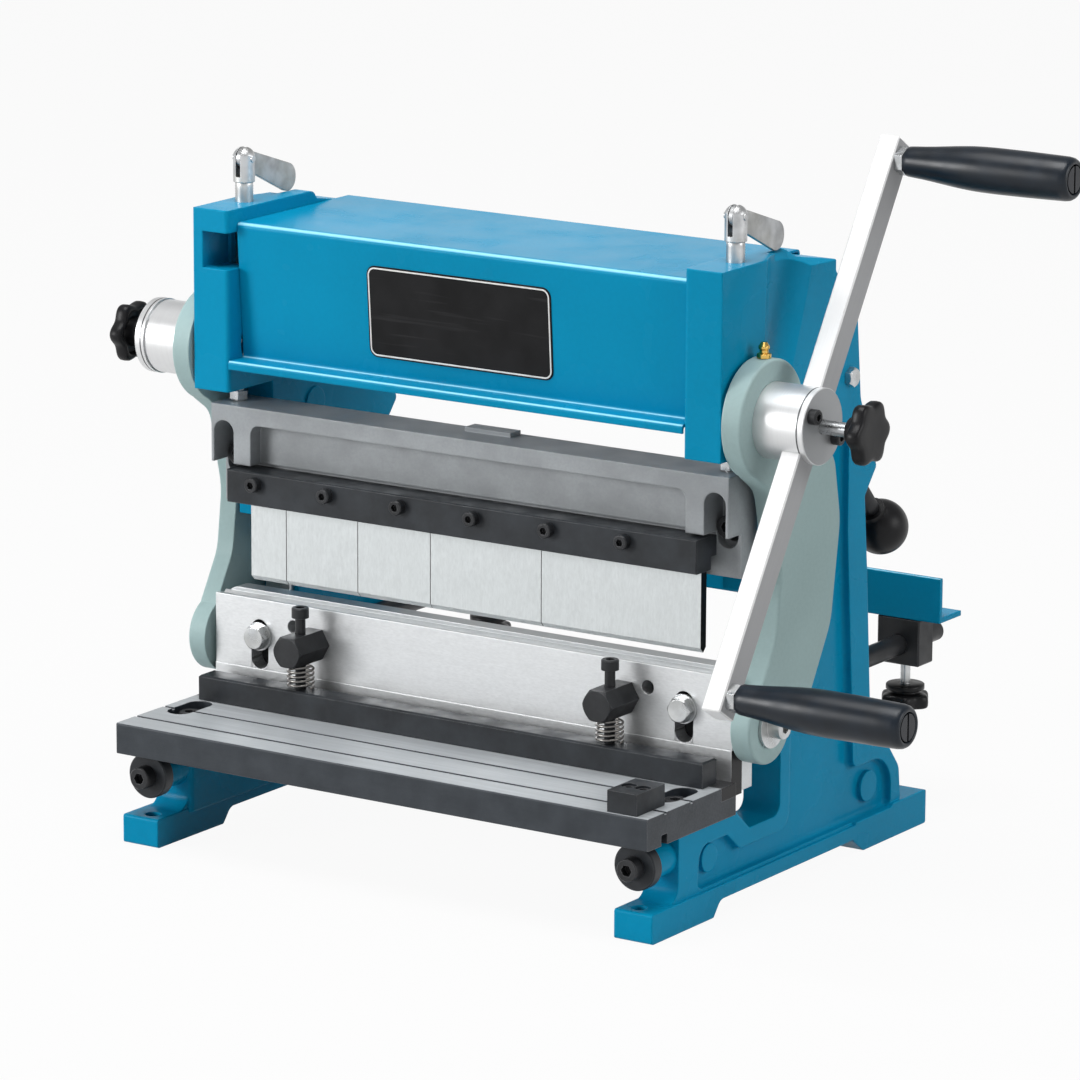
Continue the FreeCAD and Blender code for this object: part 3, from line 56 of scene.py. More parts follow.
def add_camera():
    data = bpy.data.cameras.new("camera")
    data.sensor_fit = "HORIZONTAL"
    data.sensor_width = SENSOR_WIDTH
    data.lens = SENSOR_WIDTH * FOCAL_PIXELS / PHOTO_PIXELS
    data.clip_start = 0.1
    data.clip_end = 30.0
    cam = bpy.data.objects.new("camera", data)
    scene.collection.objects.link(cam)
    turn = FORWARD.to_track_quat("-Z", "Y").to_matrix() @ Matrix.Rotation(ROLL, 3, "Z")
    cam.matrix_world = Matrix.Translation(AIM - FORWARD * DISTANCE) @ turn.to_4x4()
    scene.camera = cam


add_camera()


# Node helpers
class Nodes:
    """A short way to write a node tree."""

    def __init__(self, tree):
        self.tree = tree
        self.tree.nodes.clear()

    def add(self, kind, **props):
        node = self.tree.nodes.new(kind)
        for key, value in props.items():
            setattr(node, key, value)
        return node

    def link(self, a, b):
        self.tree.links.new(a, b)

    def spread(self, value, low, high, at_low=0.35, at_high=0.65):
        """Low to high, for a value that runs from one place to the other, by default a noise."""
        node = self.add("ShaderNodeMapRange")
        for key, number in zip((1, 2, 3, 4), (at_low, at_high, low, high)):
            node.inputs[key].default_value = number
        self.link(value, node.inputs[0])
        return node.outputs[0]

    def math(self, kind, a, b):
        node = self.add("ShaderNodeMath", operation=kind)
        for socket, value in zip(node.inputs, (a, b)):
            if isinstance(value, (int, float)):
                socket.default_value = value
            else:
                self.link(value, socket)
        return node.outputs[0]

    def seen_directly(self):
        """1 for what the camera, a reflection or glass looks at, 0 for light on its way."""
        ray = self.add("ShaderNodeLightPath").outputs
        first = self.math("MAXIMUM", ray["Is Camera Ray"], ray["Is Glossy Ray"])
        return self.math("MAXIMUM", first, ray["Is Transmission Ray"])

    def mix_shaders(self, factor, a, b, out):
        mix = self.add("ShaderNodeMixShader")
        for socket, value in zip(mix.inputs, (factor, a, b)):
            self.link(value, socket)
        self.link(mix.outputs[0], out.inputs[0])


class Tree(Nodes):
    """The nodes of one material, on the object coordinates of what wears it."""

    def __init__(self, name):
        self.material = bpy.data.materials.new(name)
        self.material.use_nodes = True
        super().__init__(self.material.node_tree)
        self.out = self.add("ShaderNodeOutputMaterial")
        self.shader = self.add("ShaderNodeBsdfPrincipled")
        self.link(self.shader.outputs[0], self.out.inputs[0])
        self.coord = self.add("ShaderNodeTexCoord")

    def set(self, **values):
        for key, value in values.items():
            self.shader.inputs[key.replace("_", " ")].default_value = value

    def place(self, scale, turn):
        """Object coordinates, turned first and stretched after."""
        node = self.add("ShaderNodeMapping", vector_type="TEXTURE")
        node.inputs["Scale"].default_value = [1.0 / k for k in scale]
        node.inputs["Rotation"].default_value = turn
        self.link(self.coord.outputs["Object"], node.inputs["Vector"])
        return node.outputs[0]

    def noise(self, size, detail=3.0, rough=0.5, stretch=(1, 1, 1), turn=(0, 0, 0)):
        node = self.add("ShaderNodeTexNoise")
        node.inputs["Scale"].default_value = size
        node.inputs["Detail"].default_value = detail
        node.inputs["Roughness"].default_value = rough
        self.link(self.place(stretch, turn), node.inputs["Vector"])
        return node.outputs["Fac"]

    def clouds(self, size, detail=3.0, rough=0.5, low=0.0, high=1.0):
        return self.spread(self.noise(size, detail, rough), low, high)

    def mix(self, factor, a, b):
        """Colour a turning into colour b; each is a socket or three numbers."""
        node = self.add("ShaderNodeMix", data_type="RGBA")
        self.link(factor, node.inputs[0])
        for socket, value in ((node.inputs[6], a), (node.inputs[7], b)):
            if hasattr(value, "is_output"):
                self.link(value, socket)
            else:
                socket.default_value = (*value, 1.0)
        return node.outputs[2]

    def veil(self, tone, colour, cover, share):
        """A colour over the tone, by a share of its cover."""
        return self.mix(self.math("MULTIPLY", cover, share), tone, colour)

    def rub(self, tone, colour, cover, most):
        """A colour over the tone, by its cover but not more than a limit."""
        return self.mix(self.math("MINIMUM", cover, most), tone, colour)

    def bump(self, height, strength, distance, under=None):
        node = self.add("ShaderNodeBump")
        node.inputs["Strength"].default_value = strength
        node.inputs["Distance"].default_value = distance
        self.link(height, node.inputs["Height"])
        if under is not None:
            self.link(under, node.inputs["Normal"])
        return node.outputs[0]

    def soft_edge(self, radius):
        node = self.add("ShaderNodeBevel", samples=6)
        node.inputs["Radius"].default_value = radius
        return node.outputs[0]

    def edge(self, normal, power):
        """0 on a flat face, rising towards a corner."""
        geometry = self.add("ShaderNodeNewGeometry")
        dot = self.add("ShaderNodeVectorMath", operation="DOT_PRODUCT")
        self.link(normal, dot.inputs[0])
        self.link(geometry.outputs["Normal"], dot.inputs[1])
        return self.math("MULTIPLY", self.math("SUBTRACT", 1.0, dot.outputs["Value"]), power)

    def facing(self, axis, low=0.6, high=0.95):
        """1 where the face looks along the axis of its own object."""
        dot = self.add("ShaderNodeVectorMath", operation="DOT_PRODUCT")
        self.link(self.coord.outputs["Normal"], dot.inputs[0])
        dot.inputs[1].default_value = axis
        return self.spread(dot.outputs["Value"], 0.0, 1.0, low, high)

    def along(self, axis, low, high):
        """0 below the low place, 1 above the high one, in metres."""
        split = self.add("ShaderNodeSeparateXYZ")
        self.link(self.coord.outputs["Object"], split.inputs[0])
        return self.spread(split.outputs["XYZ".index(axis)], 0.0, 1.0, low, high)

    def finish(self, colour, rough, normal):
        for name, value in (("Base Color", colour), ("Roughness", rough), ("Normal", normal)):
            self.link(value, self.shader.inputs[name])
        return self.material


def scaled(colour, k):
    return tuple(min(1.0, c * k) for c in colour)


# Materials: radii, bump heights and places along an axis are in metres
BLUE = (0.002, 0.250, 0.440)
# Painted highlight on the crest of folds: its colour, and the normal the crest faces
FOLD_PAINTED_HIGHLIGHT = (0.38, 0.80, 0.95)
FOLD_NORMAL = (0.0, -0.64, 0.77)
# Pale colours for corners: wear, and partly a painted highlight on the arrises
EDGE_WEAR_AND_HIGHLIGHT = (0.93, 0.93, 0.93)
BAR_EDGE_WEAR_AND_HIGHLIGHT = (0.92, 0.92, 0.92)
BLACK_EDGE_WEAR_AND_HIGHLIGHT = (0.34, 0.345, 0.36)
# Near black, painted on steel faces that stand in shade
PAINTED_SHADE_DARK = (0.012, 0.012, 0.013)
WARM_BLOOM = (0.60, 0.55, 0.42)
# Pale grey painted on the casting's upward faces as light from above
TOP_PAINTED_LIGHT = (0.75, 0.76, 0.77)
UP = (0, 0, 1)
FRONT = (0, -1, 0)
RIGHT = (1, 0, 0)
ENDS = (RIGHT, (-1, 0, 0))
CRANK_LEAN = math.radians(-32.2)
# Height below which the beam's front face is painted as shade
BEAM_FRONT_TOP = 0.128
SPINDLE_TIP = 0.318
HUB_GROOVES = (0.2176, -0.2226)
GROOVE_WIDTH = 0.0009
STEP = 0.0001


def paint(name, colour, lumps, gloss=0.24, fold_highlight=0.0, edge_wear_and_highlight=0.45):
    """Thick stoved enamel: slight orange peel, corners paler by wear and painted highlight, folds painted
    highlight.
    """
    t = Tree(name)
    base = t.soft_edge(0.0014)
    tone = t.mix(t.clouds(9.0, 2.0), scaled(colour, 0.93), scaled(colour, 1.07))
    tone = t.veil(tone, scaled(colour, 1.35), t.clouds(420.0, 2.0), 0.10)
    # Corners paler: partly wear, partly a painted highlight along the arrises
    edge = t.math("MULTIPLY", t.edge(base, 3.0), t.clouds(120.0, low=0.6))
    tone = t.rub(tone, scaled(colour, 1.7), edge, edge_wear_and_highlight)
    # Painted highlight along the crest of a fold, standing in for the lamps' glint
    if fold_highlight:
        tone = t.veil(tone, FOLD_PAINTED_HIGHLIGHT, t.facing(FOLD_NORMAL, 0.90, 0.99), fold_highlight)
    peel = t.bump(t.noise(520.0, 1.5), 0.10, 0.0004, base)
    normal = t.bump(t.noise(60.0, 3.0, 0.55), lumps, 0.0012, peel)
    t.set(Specular_IOR_Level=0.05)
    return t.finish(tone, t.clouds(30.0, low=gloss - 0.05, high=gloss + 0.09), normal)


def milled(name, colour, grain=(0.3, 1, 1), painted_shade_axes=(), below=None, rough=0.40):
    """Surface-ground plate: an even fine speckle and short cutter marks; faces along some axes painted near
    black as shade.
    """
    t = Tree(name)
    base = t.soft_edge(0.0006)
    speck = t.noise(1100.0, 4.0, 0.65, grain)
    marks = t.noise(420.0, 2.0, 0.5, tuple(k * 0.35 if k < 1 else k for k in grain))
    tone = t.mix(t.spread(speck, 0.0, 1.0), scaled(colour, 0.93), scaled(colour, 1.05))
    tone = t.veil(tone, scaled(colour, 0.86), t.spread(marks, 0.0, 1.0), 0.22)
    tone = t.veil(tone, scaled(colour, 0.84), t.clouds(16.0, 4.0, 0.6), 0.12)
    # Corners paler: partly wear, partly a painted highlight
    tone = t.rub(tone, EDGE_WEAR_AND_HIGHLIGHT, t.edge(base, 2.0), 0.5)
    # Painted shade: faces along these axes, up to a height if one is given, turn near black
    for axis in painted_shade_axes:
        dark = t.facing(axis, 0.7)
        if below is not None:
            above = t.along("Z", below, below + 5 * STEP)
            dark = t.math("MULTIPLY", dark, t.math("SUBTRACT", 1.0, above))
        tone = t.mix(dark, tone, PAINTED_SHADE_DARK)
    t.set(Metallic=0.7)
    return t.finish(tone, t.spread(speck, rough - 0.05, rough + 0.08), t.bump(speck, 0.06, 0.0001, base))


def bar_with_painted_shade(name, face, shaded_flank, turn):
    """A ground bar, upright before its turn: bright narrow faces, flanks painted darker as shade."""
    t = Tree(name)
    base = t.soft_edge(0.0007)
    lines = t.noise(1300.0, 3.0, 0.6, (1, 1, 0.02), turn)
    # Painted shade: faces looking along X take the darker flank colour
    right, left = (t.facing(end, 0.6, 0.9) for end in ENDS)
    sides = t.math("ADD", right, left)
    tone = t.mix(sides, face, shaded_flank)
    tone = t.veil(tone, scaled(shaded_flank, 0.7), t.spread(lines, 0.0, 1.0), 0.06)
    tone = t.veil(tone, scaled(shaded_flank, 0.8), t.clouds(24.0, 4.0, 0.6), 0.05)
    # Corners paler: partly wear, partly a painted highlight
    tone = t.rub(tone, BAR_EDGE_WEAR_AND_HIGHLIGHT, t.edge(base, 2.0), 0.7)
    t.set(Metallic=0.12)
    rough = t.math("ADD", t.spread(lines, 0.42, 0.52), t.math("MULTIPLY", sides, 0.12))
    return t.finish(tone, rough, t.bump(lines, 0.10, 0.0002, base))


def turned(name, colour, rough=0.26, metal=1.0, pitch=900.0, lines=1.0, grooves=(), rim=None):
    """Turned steel: fine tool rings round the X axis, dark grooves, and a rim of another tone."""
    t = Tree(name)
    base = t.soft_edge(0.0005)
    rings = t.noise(pitch, 2.0, 0.6, (1, 0.02, 0.02))
    shades = scaled(colour, 1 - 0.08 * lines), scaled(colour, 1 + 0.06 * lines)
    tone = t.mix(t.spread(rings, 0.0, 1.0), *shades)
    tone = t.veil(tone, scaled(colour, 0.8), t.clouds(35.0), 0.15)
    if rim is not None:
        tone = t.mix(t.facing(RIGHT), rim, tone)
    for at in grooves:
        end = at + GROOVE_WIDTH
        ring = t.math("SUBTRACT", t.along("X", at, at + STEP), t.along("X", end, end + STEP))
        tone = t.veil(tone, (0.03, 0.03, 0.035), ring, 0.9)
    t.set(Metallic=metal)
    rough = t.spread(rings, rough - 0.03 * lines, rough + 0.06 * lines)
    return t.finish(tone, rough, t.bump(rings, 0.03 * lines, 0.0001, base))


def black_steel(name, colour=(0.018, 0.019, 0.021)):
    """Blackened steel: oily and mottled, corners rubbed bright by wear and painted highlight."""
    t = Tree(name)
    base = t.soft_edge(0.0005)
    tone = t.mix(t.clouds(45.0, 4.0, 0.6), scaled(colour, 0.75), scaled(colour, 1.45))
    # Corners paler: partly wear, partly a painted highlight
    corner_wear_and_highlight = t.math("MULTIPLY", t.edge(base, 2.5), t.clouds(150.0, low=0.1))
    tone = t.rub(tone, BLACK_EDGE_WEAR_AND_HIGHLIGHT, corner_wear_and_highlight, 0.55)
    t.set(Metallic=0.1, Specular_IOR_Level=0.30)
    normal = t.bump(t.noise(700.0, 2.0), 0.10, 0.0002, base)
    return t.finish(tone, t.clouds(60.0, low=0.32, high=0.54), normal)


def zinc(name, colour=(0.50, 0.52, 0.54), rough=0.28, tip=None):
    """Bright zinc plate: cloudy, with a faint warm bloom; dark beyond its tip."""
    t = Tree(name)
    base = t.soft_edge(0.0005)
    tone = t.mix(t.clouds(110.0), scaled(colour, 0.80), scaled(colour, 1.15))
    tone = t.veil(tone, WARM_BLOOM, t.clouds(40.0, 2.0), 0.18)
    if tip is not None:
        tone = t.mix(t.along("X", tip, tip + 4 * STEP), tone, (0.035, 0.037, 0.042))
    t.set(Metallic=0.95)
    normal = t.bump(t.noise(300.0, 2.0), 0.12, 0.0002, base)
    return t.finish(tone, t.clouds(80.0, low=rough - 0.07, high=rough + 0.10), normal)


def plate_black(name):
    """Label plate: satin black print with a few faint scuffs."""
    t = Tree(name)
    tone = t.mix(t.clouds(40.0), (0.006, 0.006, 0.0065), (0.011, 0.011, 0.012))
    scuffs = t.spread(t.noise(300.0, 2.0, 0.5, (0.05, 1, 1)), 0.0, 1.0, 0.62, 0.72)
    tone = t.veil(tone, (0.05, 0.05, 0.052), scuffs, 0.25)
    t.set(Specular_IOR_Level=0.12)
    normal = t.bump(t.noise(800.0, 1.0), 0.04, 0.0002)
    return t.finish(tone, t.clouds(60.0, 2.0, low=0.30, high=0.42), normal)


def plate_pale(name):
    """The plate's printed border: warm off-white ink."""
    t = Tree(name)
    tone = t.mix(t.clouds(200.0, 2.0), (0.70, 0.70, 0.68), (0.82, 0.82, 0.80))
    normal = t.bump(t.noise(900.0, 1.0), 0.03, 0.0002)
    return t.finish(tone, t.clouds(90.0, 2.0, low=0.35, high=0.45), normal)


def cast(name, colour, rough, metal, grain, top):
    """Cast iron: sandy skin, and top faces painted lighter as light falling from above."""
    t = Tree(name)
    base = t.soft_edge(0.0012)
    fine = t.noise(650.0, 3.0, 0.6)
    tone = t.mix(t.clouds(26.0, 4.0, 0.6), scaled(colour, 0.85), scaled(colour, 1.12))
    tone = t.veil(tone, scaled(colour, 0.72), t.spread(fine, 0.0, 1.0), 0.25)
    # Corners paler: partly wear, partly a painted highlight along the arrises
    tone = t.rub(tone, scaled(colour, 1.8), t.edge(base, 1.6), 0.4)
    # Painted light: upward faces are lightened as if lit from above
    tone = t.veil(tone, TOP_PAINTED_LIGHT, t.facing(UP), top)
    t.set(Metallic=metal)
    normal = t.bump(fine, grain, 0.0003, base)
    return t.finish(tone, t.clouds(50.0, low=rough - 0.08, high=rough + 0.12), normal)


def table_iron(name):
    """Dark iron table: black enamelled sides, a milled top with lengthwise cutter lines."""
    t = Tree(name)
    base = t.soft_edge(0.0009)
    dark = t.mix(t.clouds(60.0, 4.0), (0.018, 0.024, 0.031), (0.030, 0.037, 0.046))
    lines = t.noise(900.0, 2.0, 0.6, (0.015, 1, 1))
    bright = t.mix(t.spread(lines, 0.0, 1.0), (0.35, 0.372, 0.39), (0.46, 0.485, 0.505))
    bright = t.veil(bright, (0.28, 0.30, 0.32), t.clouds(18.0, 4.0, 0.6), 0.35)
    tone = t.mix(t.facing(UP, 0.75, 0.98), dark, bright)
    # Corners paler: partly wear, partly a painted highlight along the arrises
    tone = t.rub(tone, (0.40, 0.41, 0.43), t.edge(base, 1.6), 0.35)
    rough = t.math("ADD", 0.38, t.math("MULTIPLY", t.spread(lines, 0.0, 1.0), 0.14))
    normal = t.bump(t.noise(500.0, 3.0), 0.22, 0.0003, t.bump(lines, 0.08, 0.0002, base))
    t.set(Metallic=0.12, Specular_IOR_Level=0.4)
    return t.finish(tone, rough, normal)


def plastic(name, colour, rough, grain, gloss):
    """Moulded phenolic: even and dark with a faint flow pattern."""
    t = Tree(name)
    tone = t.mix(t.clouds(90.0), scaled(colour, 0.8), scaled(colour, 1.3))
    t.set(Specular_IOR_Level=gloss)
    normal = t.bump(t.noise(900.0, 1.0), grain, 0.0002)
    return t.finish(tone, t.clouds(70.0, 2.0, low=rough - 0.04, high=rough + 0.06), normal)


MATERIALS = {
    "frame_paint": paint("casting_enamel", BLUE, 0.14),
    "sheet_paint": paint("sheet_enamel", BLUE, 0.03, 0.20, fold_highlight=0.8, edge_wear_and_highlight=0.3),
    "rod_paint": paint("rod_enamel", (0.335, 0.455, 0.455), 0.16, 0.34),
    "cast_grey": cast("beam_casting", (0.31, 0.33, 0.345), 0.46, 0.15, 0.25, 0.45),
    "table_iron": table_iron("table_casting"),
    "beam_steel": milled("beam_steel", (0.62, 0.64, 0.65), painted_shade_axes=(FRONT,), below=BEAM_FRONT_TOP),
    "die_steel": milled("die_steel", (0.655, 0.67, 0.68)),
    "blade_steel": milled("shear_steel", (0.62, 0.635, 0.645), painted_shade_axes=ENDS),
    "crank_steel": bar_with_painted_shade("crank_steel", (0.95, 0.95, 0.95), (0.36, 0.365, 0.375), (CRANK_LEAN, 0, 0)),
    "screw_zinc": zinc("zinc_screw", (0.52, 0.53, 0.54), 0.40),
    "spring": turned("spring_wire", (0.30, 0.285, 0.27), 0.30, pitch=400.0),
    "disc_steel": turned("hub_disc_steel", (0.33, 0.34, 0.35), 0.44, 0.6, lines=0.5, rim=(0.72, 0.725, 0.73)),
    "label_black": plate_black("label_black"),
    "label_pale": plate_pale("label_pale"),
    "finger_steel": milled("finger_steel", (0.575, 0.605, 0.61), (1, 1, 0.3), ENDS),
    "black_steel": black_steel("blackened_steel"),
    "black_bar": black_steel("blackened_bar", (0.018, 0.021, 0.025)),
    "blade": milled("bed_blade", (0.10, 0.10, 0.105), painted_shade_axes=ENDS, rough=0.34),
    "zinc": zinc("zinc_plate"),
    "paddle_zinc": zinc("paddle_plate", (0.40, 0.41, 0.42), 0.46),
    "spindle_zinc": zinc("spindle_plate", tip=SPINDLE_TIP),
    "turned_steel": turned("turned_steel", (0.60, 0.61, 0.62), 0.30, lines=0.35),
    "bright_steel": turned("bright_hub", (0.72, 0.725, 0.73), 0.38, 0.8, lines=0.25, grooves=HUB_GROOVES),
    "bronze": turned("bush_bronze", (0.55, 0.36, 0.14)),
    "brass": turned("nipple_brass", (0.72, 0.47, 0.13), 0.22),
    "grip_plastic": plastic("grip_black", (0.004, 0.008, 0.014), 0.34, 0.02, 0.34),
    "knob_plastic": plastic("knob_black", (0.007, 0.007, 0.008), 0.36, 0.08, 0.2),
}

LOOKS = {
    "frame_paint": "left_frame right_frame",
    "sheet_paint": "hood gauge_angle",
    "rod_paint": "con_rod_left con_rod_right",
    "cast_grey": "finger_beam",
    "table_iron": "shear_table",
    "beam_steel": "beam_body",
    "die_steel": "bending_die",
    "blade": "fixed_blade",
    "blade_steel": "shear_blade",
    "crank_steel": "crank_bar",
    "finger_steel": "fingers",
    "black_bar": "clamp_bar hold_down_bar stop_block support_discs",
    "black_steel": "socket_screws hold_down_screws hold_down_posts hub_screws gauge_blocks gauge_rods"
    " rear_screw_left rear_screw_right",
    "spring": "spring_left spring_right",
    "screw_zinc": "top_screw_left top_screw_right",
    "zinc": "hex_screws beam_screws pivot_pins",
    "paddle_zinc": "paddle_left paddle_right",
    "spindle_zinc": "grip_spindles",
    "turned_steel": "lower_roll upper_roll rear_roll lower_gear upper_gear tie_bars guide_shoes"
    " guide_strips upper_roll_blocks rear_roll_blocks",
    "bright_steel": "hub_left hub_right",
    "disc_steel": "hub_disc",
    "bronze": "shaft_bushes",
    "brass": "grease_nipple_left grease_nipple_right",
    "knob_plastic": "ball_knob_left ball_knob_right",
}

for look, names in LOOKS.items():
    for name in names.split():
        data = nodes[name].data
        data.materials.clear()
        data.materials.append(MATERIALS[look])


# New pieces: places in the frame are in metres, knobs, grips and threads are drawn in mm
MM_PER_M = 1000.0
LOBES = 6
LOBE_CUT = 0.17
STAR_FACE = {"right": 0.2545, "left": 0.2480}
STAR_STUD_END = {"right": 0.2075, "left": 0.2152}
STAR_STUD_RADIUS = 4.0
STAR_STUD_START = 8.0
SCREW_RADIUS = 5.3
SCREW_PITCH = 1.5
TOP_THREAD = (0.3300, 0.3694)
REAR_THREAD = (14.0, 75.0)
REAR_TIP_INSET = (0.0036, 0.0034)
LOCK_STUD_RADIUS = 3.0
LOCK_STUD_START = 6.0
LOCK_STUD_PITCH = 1.0
LOCK_INSET = 0.0004
RIDGE_DEPTH = 0.32
DIE_SLOT_X = 0.1442
DIE_SLOT_RADIUS = 0.006
DIE_SLOT_CENTRE = 0.0061
DIE_SLOT_STEPS = 16
LABEL_X = (-0.0633, 0.0600)
LABEL_Z = (0.2828, 0.3355)
LABEL_CORNER = 0.0056
HOOD_LEAN = math.atan2(5.5, 78.5)
HOOD_FOOT = (-0.0615, 0.272)

# Rings of a revolved or lobed form, in mm: way along the axis, radius, share of the lobes
STAR_PROFILE = (
    (0.25, 1.5, 0), (0.18, 9.0, 0.3), (0.0, 14.4, 0.9), (0.22, 16.4, 1), (0.8, 17.6, 1), (1.8, 18.2, 1),
    (4.2, 18.35, 1), (6.6, 18.1, 1), (7.7, 17.3, 1), (8.2, 16.2, 1), (8.25, 15.0, 1), (7.9, 14.2, 0.8),
    (5.2, 13.3, 0.6), (4.5, 12.6, 0.5), (4.35, 9.2, 0.1), (4.7, 8.4, 0), (9.0, 8.0, 0), (14.4, 7.7, 0),
    (14.9, 7.2, 0), (15.0, 3.5, 0))
LOCK_PROFILE = (
    (0.3, 1.2, 0), (0.2, 7.0, 0.3), (0.0, 12.0, 0.9), (0.2, 13.6, 1), (0.8, 14.6, 1), (1.7, 15.0, 1),
    (4.0, 15.1, 1), (6.4, 14.9, 1), (7.6, 14.1, 1), (8.1, 12.9, 1), (8.3, 11.2, 0.5), (8.5, 9.0, 0),
    (9.6, 8.4, 0), (10.2, 8.8, 0), (10.5, 10.9, 0), (10.8, 11.3, 0), (13.2, 11.3, 0), (13.6, 10.9, 0),
    (13.7, 4.0, 0))
GRIP_PROFILE = (
    (0.0, 4.4, 0), (0.0, 6.9, 0), (0.3, 7.8, 0), (1.0, 8.3, 0), (4.0, 8.55, 0), (10.0, 9.0, 0),
    (16.0, 9.6, 0), (22.0, 10.3, 0), (28.0, 11.0, 0), (34.0, 11.6, 0), (40.0, 12.1, 0), (46.0, 12.4, 0),
    (54.0, 12.55, 0), (72.0, 12.5, 0), (88.0, 12.3, 0), (98.0, 12.1, 0), (100.6, 11.7, 0),
    (102.2, 10.8, 0), (102.9, 9.9, 0), (103.0, 9.1, 0), (102.7, 8.4, 0), (102.0, 8.1, 0), (98.0, 8.0, 0),
    (97.9, 4.4, 0))
# The label's rim, in metres: inset from the outline, height over the hood, look of the next band
LABEL_RIM = (
    (0.0, -0.0002, 0), (0.0, 0.0004, 0), (0.0002, 0.0006, 0), (0.0009, 0.0006, 1),
    (0.0010, 0.00068, 1), (0.0017, 0.00068, 1), (0.0018, 0.0006, 0))


def box(node):
    return (Vector(corner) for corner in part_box(node))


def centre(node):
    low, high = box(node)
    return (low + high) / 2


def rings(bm, profile, place, axis, lobes=0, sides=96, slot=0, tube=False):
    """Closed skin through the rings of a profile in mm, or a tube whose last ring meets its first."""
    turn = Vector(axis).to_track_quat("Z", "Y").to_matrix()
    loops = []
    for way, radius, share in profile:
        loop = []
        for i in range(sides):
            a = 2 * math.pi * i / sides
            r = radius * (1.0 - share * LOBE_CUT * (0.5 - 0.5 * math.cos(lobes * a)))
            point = Vector((r * math.cos(a), r * math.sin(a), way)) / MM_PER_M
            loop.append(bm.verts.new(Vector(place) + turn @ point))
        loops.append(loop)
    faces = []
    for a, b in zip(loops, loops[1:] + (loops[:1] if tube else [])):
        for i in range(sides):
            j = (i + 1) % sides
            faces.append(bm.faces.new((a[i], a[j], b[j], b[i])))
    if not tube:
        faces += [bm.faces.new(list(reversed(loops[0]))), bm.faces.new(loops[-1])]
    for face in faces:
        face.material_index = slot
        face.smooth = True


def piece(name, bm, looks, body, slot, *stands_for):
    bmesh.ops.recalc_face_normals(bm, faces=bm.faces[:])
    mesh = bpy.data.meshes.new(name)
    bm.to_mesh(mesh)
    bm.free()
    for look in looks:
        mesh.materials.append(MATERIALS[look])
    obj = bpy.data.objects.new(name, mesh)
    scene.collection.objects.link(obj)
    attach(obj, body)
    if stands_for:
        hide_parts(*stands_for)


def threads(start, end, radius, pitch=1.25):
    """Ring profile of a screw: chamfered ends, and ridges between its core and full radius."""
    out = [(start, radius - 0.7, 0), (start + 0.6, radius, 0)]
    for i in range(int((end - start - 1.2) / pitch)):
        at = start + 0.8 + i * pitch
        out += [(at, radius, 0), (at + pitch * 0.5, radius - RIDGE_DEPTH, 0)]
    return out + [(end - 0.3, radius, 0), (end, radius - 0.4, 0)]


def add_star_knobs():
    """Six-lobed knobs with a hollow back and a neck, on a plated stud into the hub."""
    axis = centre("hub_disc")
    for side, sx in (("right", 1), ("left", -1)):
        node = "star_knob_" + side
        face = STAR_FACE[side]
        tip = Vector((sx * face, axis.y, axis.z))
        stud = threads(STAR_STUD_START, (face - STAR_STUD_END[side]) * MM_PER_M, STAR_STUD_RADIUS)
        bm = bmesh.new()
        rings(bm, STAR_PROFILE, tip, (-sx, 0, 0), LOBES)
        rings(bm, stud, tip, (-sx, 0, 0), slot=1, sides=40)
        piece("star_grip_" + side, bm, ("knob_plastic", "zinc"), node, "knob_plastic", node)


def add_screw_threads():
    """Real ridges on the adjusting screws, where they show above the heads and behind the lugs."""
    start, end = TOP_THREAD
    top = threads(0.0, (end - start) * MM_PER_M, SCREW_RADIUS, SCREW_PITCH)
    rear = threads(*REAR_THREAD, SCREW_RADIUS, SCREW_PITCH)
    for side in ("left", "right"):
        node = "top_screw_" + side
        place = centre(node)
        bm = bmesh.new()
        rings(bm, top, (place.x, place.y, start), UP, sides=48)
        piece("top_thread_" + side, bm, ("screw_zinc",), node, "zinc")
        node = "rear_screw_" + side
        low, high = box(node)
        ball = centre("ball_knob_" + side)
        tip = Vector((ball.x, low.y + REAR_TIP_INSET[0], high.z - REAR_TIP_INSET[1]))
        bm = bmesh.new()
        rings(bm, rear, ball, tip - ball, sides=48)
        piece("rear_thread_" + side, bm, ("black_steel",), node, "black_steel")


def add_grips():
    """Bottle-shaped grips, hollow for the spindle, with a rolled end round its screw."""
    for level in ("upper", "lower"):
        node = "grip_" + level
        middle = centre(node)
        low, _ = box(node)
        bm = bmesh.new()
        rings(bm, GRIP_PROFILE, (low.x, middle.y, middle.z), RIGHT, tube=True)
        piece("bottle_grip_" + level, bm, ("grip_plastic",), node, "grip_plastic", node)


def add_slot_ends():
    """The round lower ends of the die's two slots."""
    low, high = box("bending_die")
    floor = low.z + DIE_SLOT_CENTRE
    turns = [math.pi * i / DIE_SLOT_STEPS for i in range(DIE_SLOT_STEPS + 1)]
    bm = bmesh.new()
    for sx in (-1, 1):
        x = sx * DIE_SLOT_X
        arc = [(x - DIE_SLOT_RADIUS * math.cos(a), floor - DIE_SLOT_RADIUS * math.sin(a)) for a in turns]
        for (xa, za), (xb, zb) in zip(arc, arc[1:]):
            outline = [(xa, low.z), (xb, low.z), (xb, zb), (xa, za)]
            front = [bm.verts.new((u, low.y, v)) for u, v in outline]
            back = [bm.verts.new((u, high.y, v)) for u, v in outline]
            bm.faces.new(front)
            bm.faces.new(list(reversed(back)))
            for k in range(4):
                m = (k + 1) % 4
                bm.faces.new((front[k], back[k], back[m], front[m]))
    bmesh.ops.remove_doubles(bm, verts=bm.verts[:], dist=1e-6)
    piece("die_slot_ends", bm, ("die_steel",), "beam", "ground_steel")


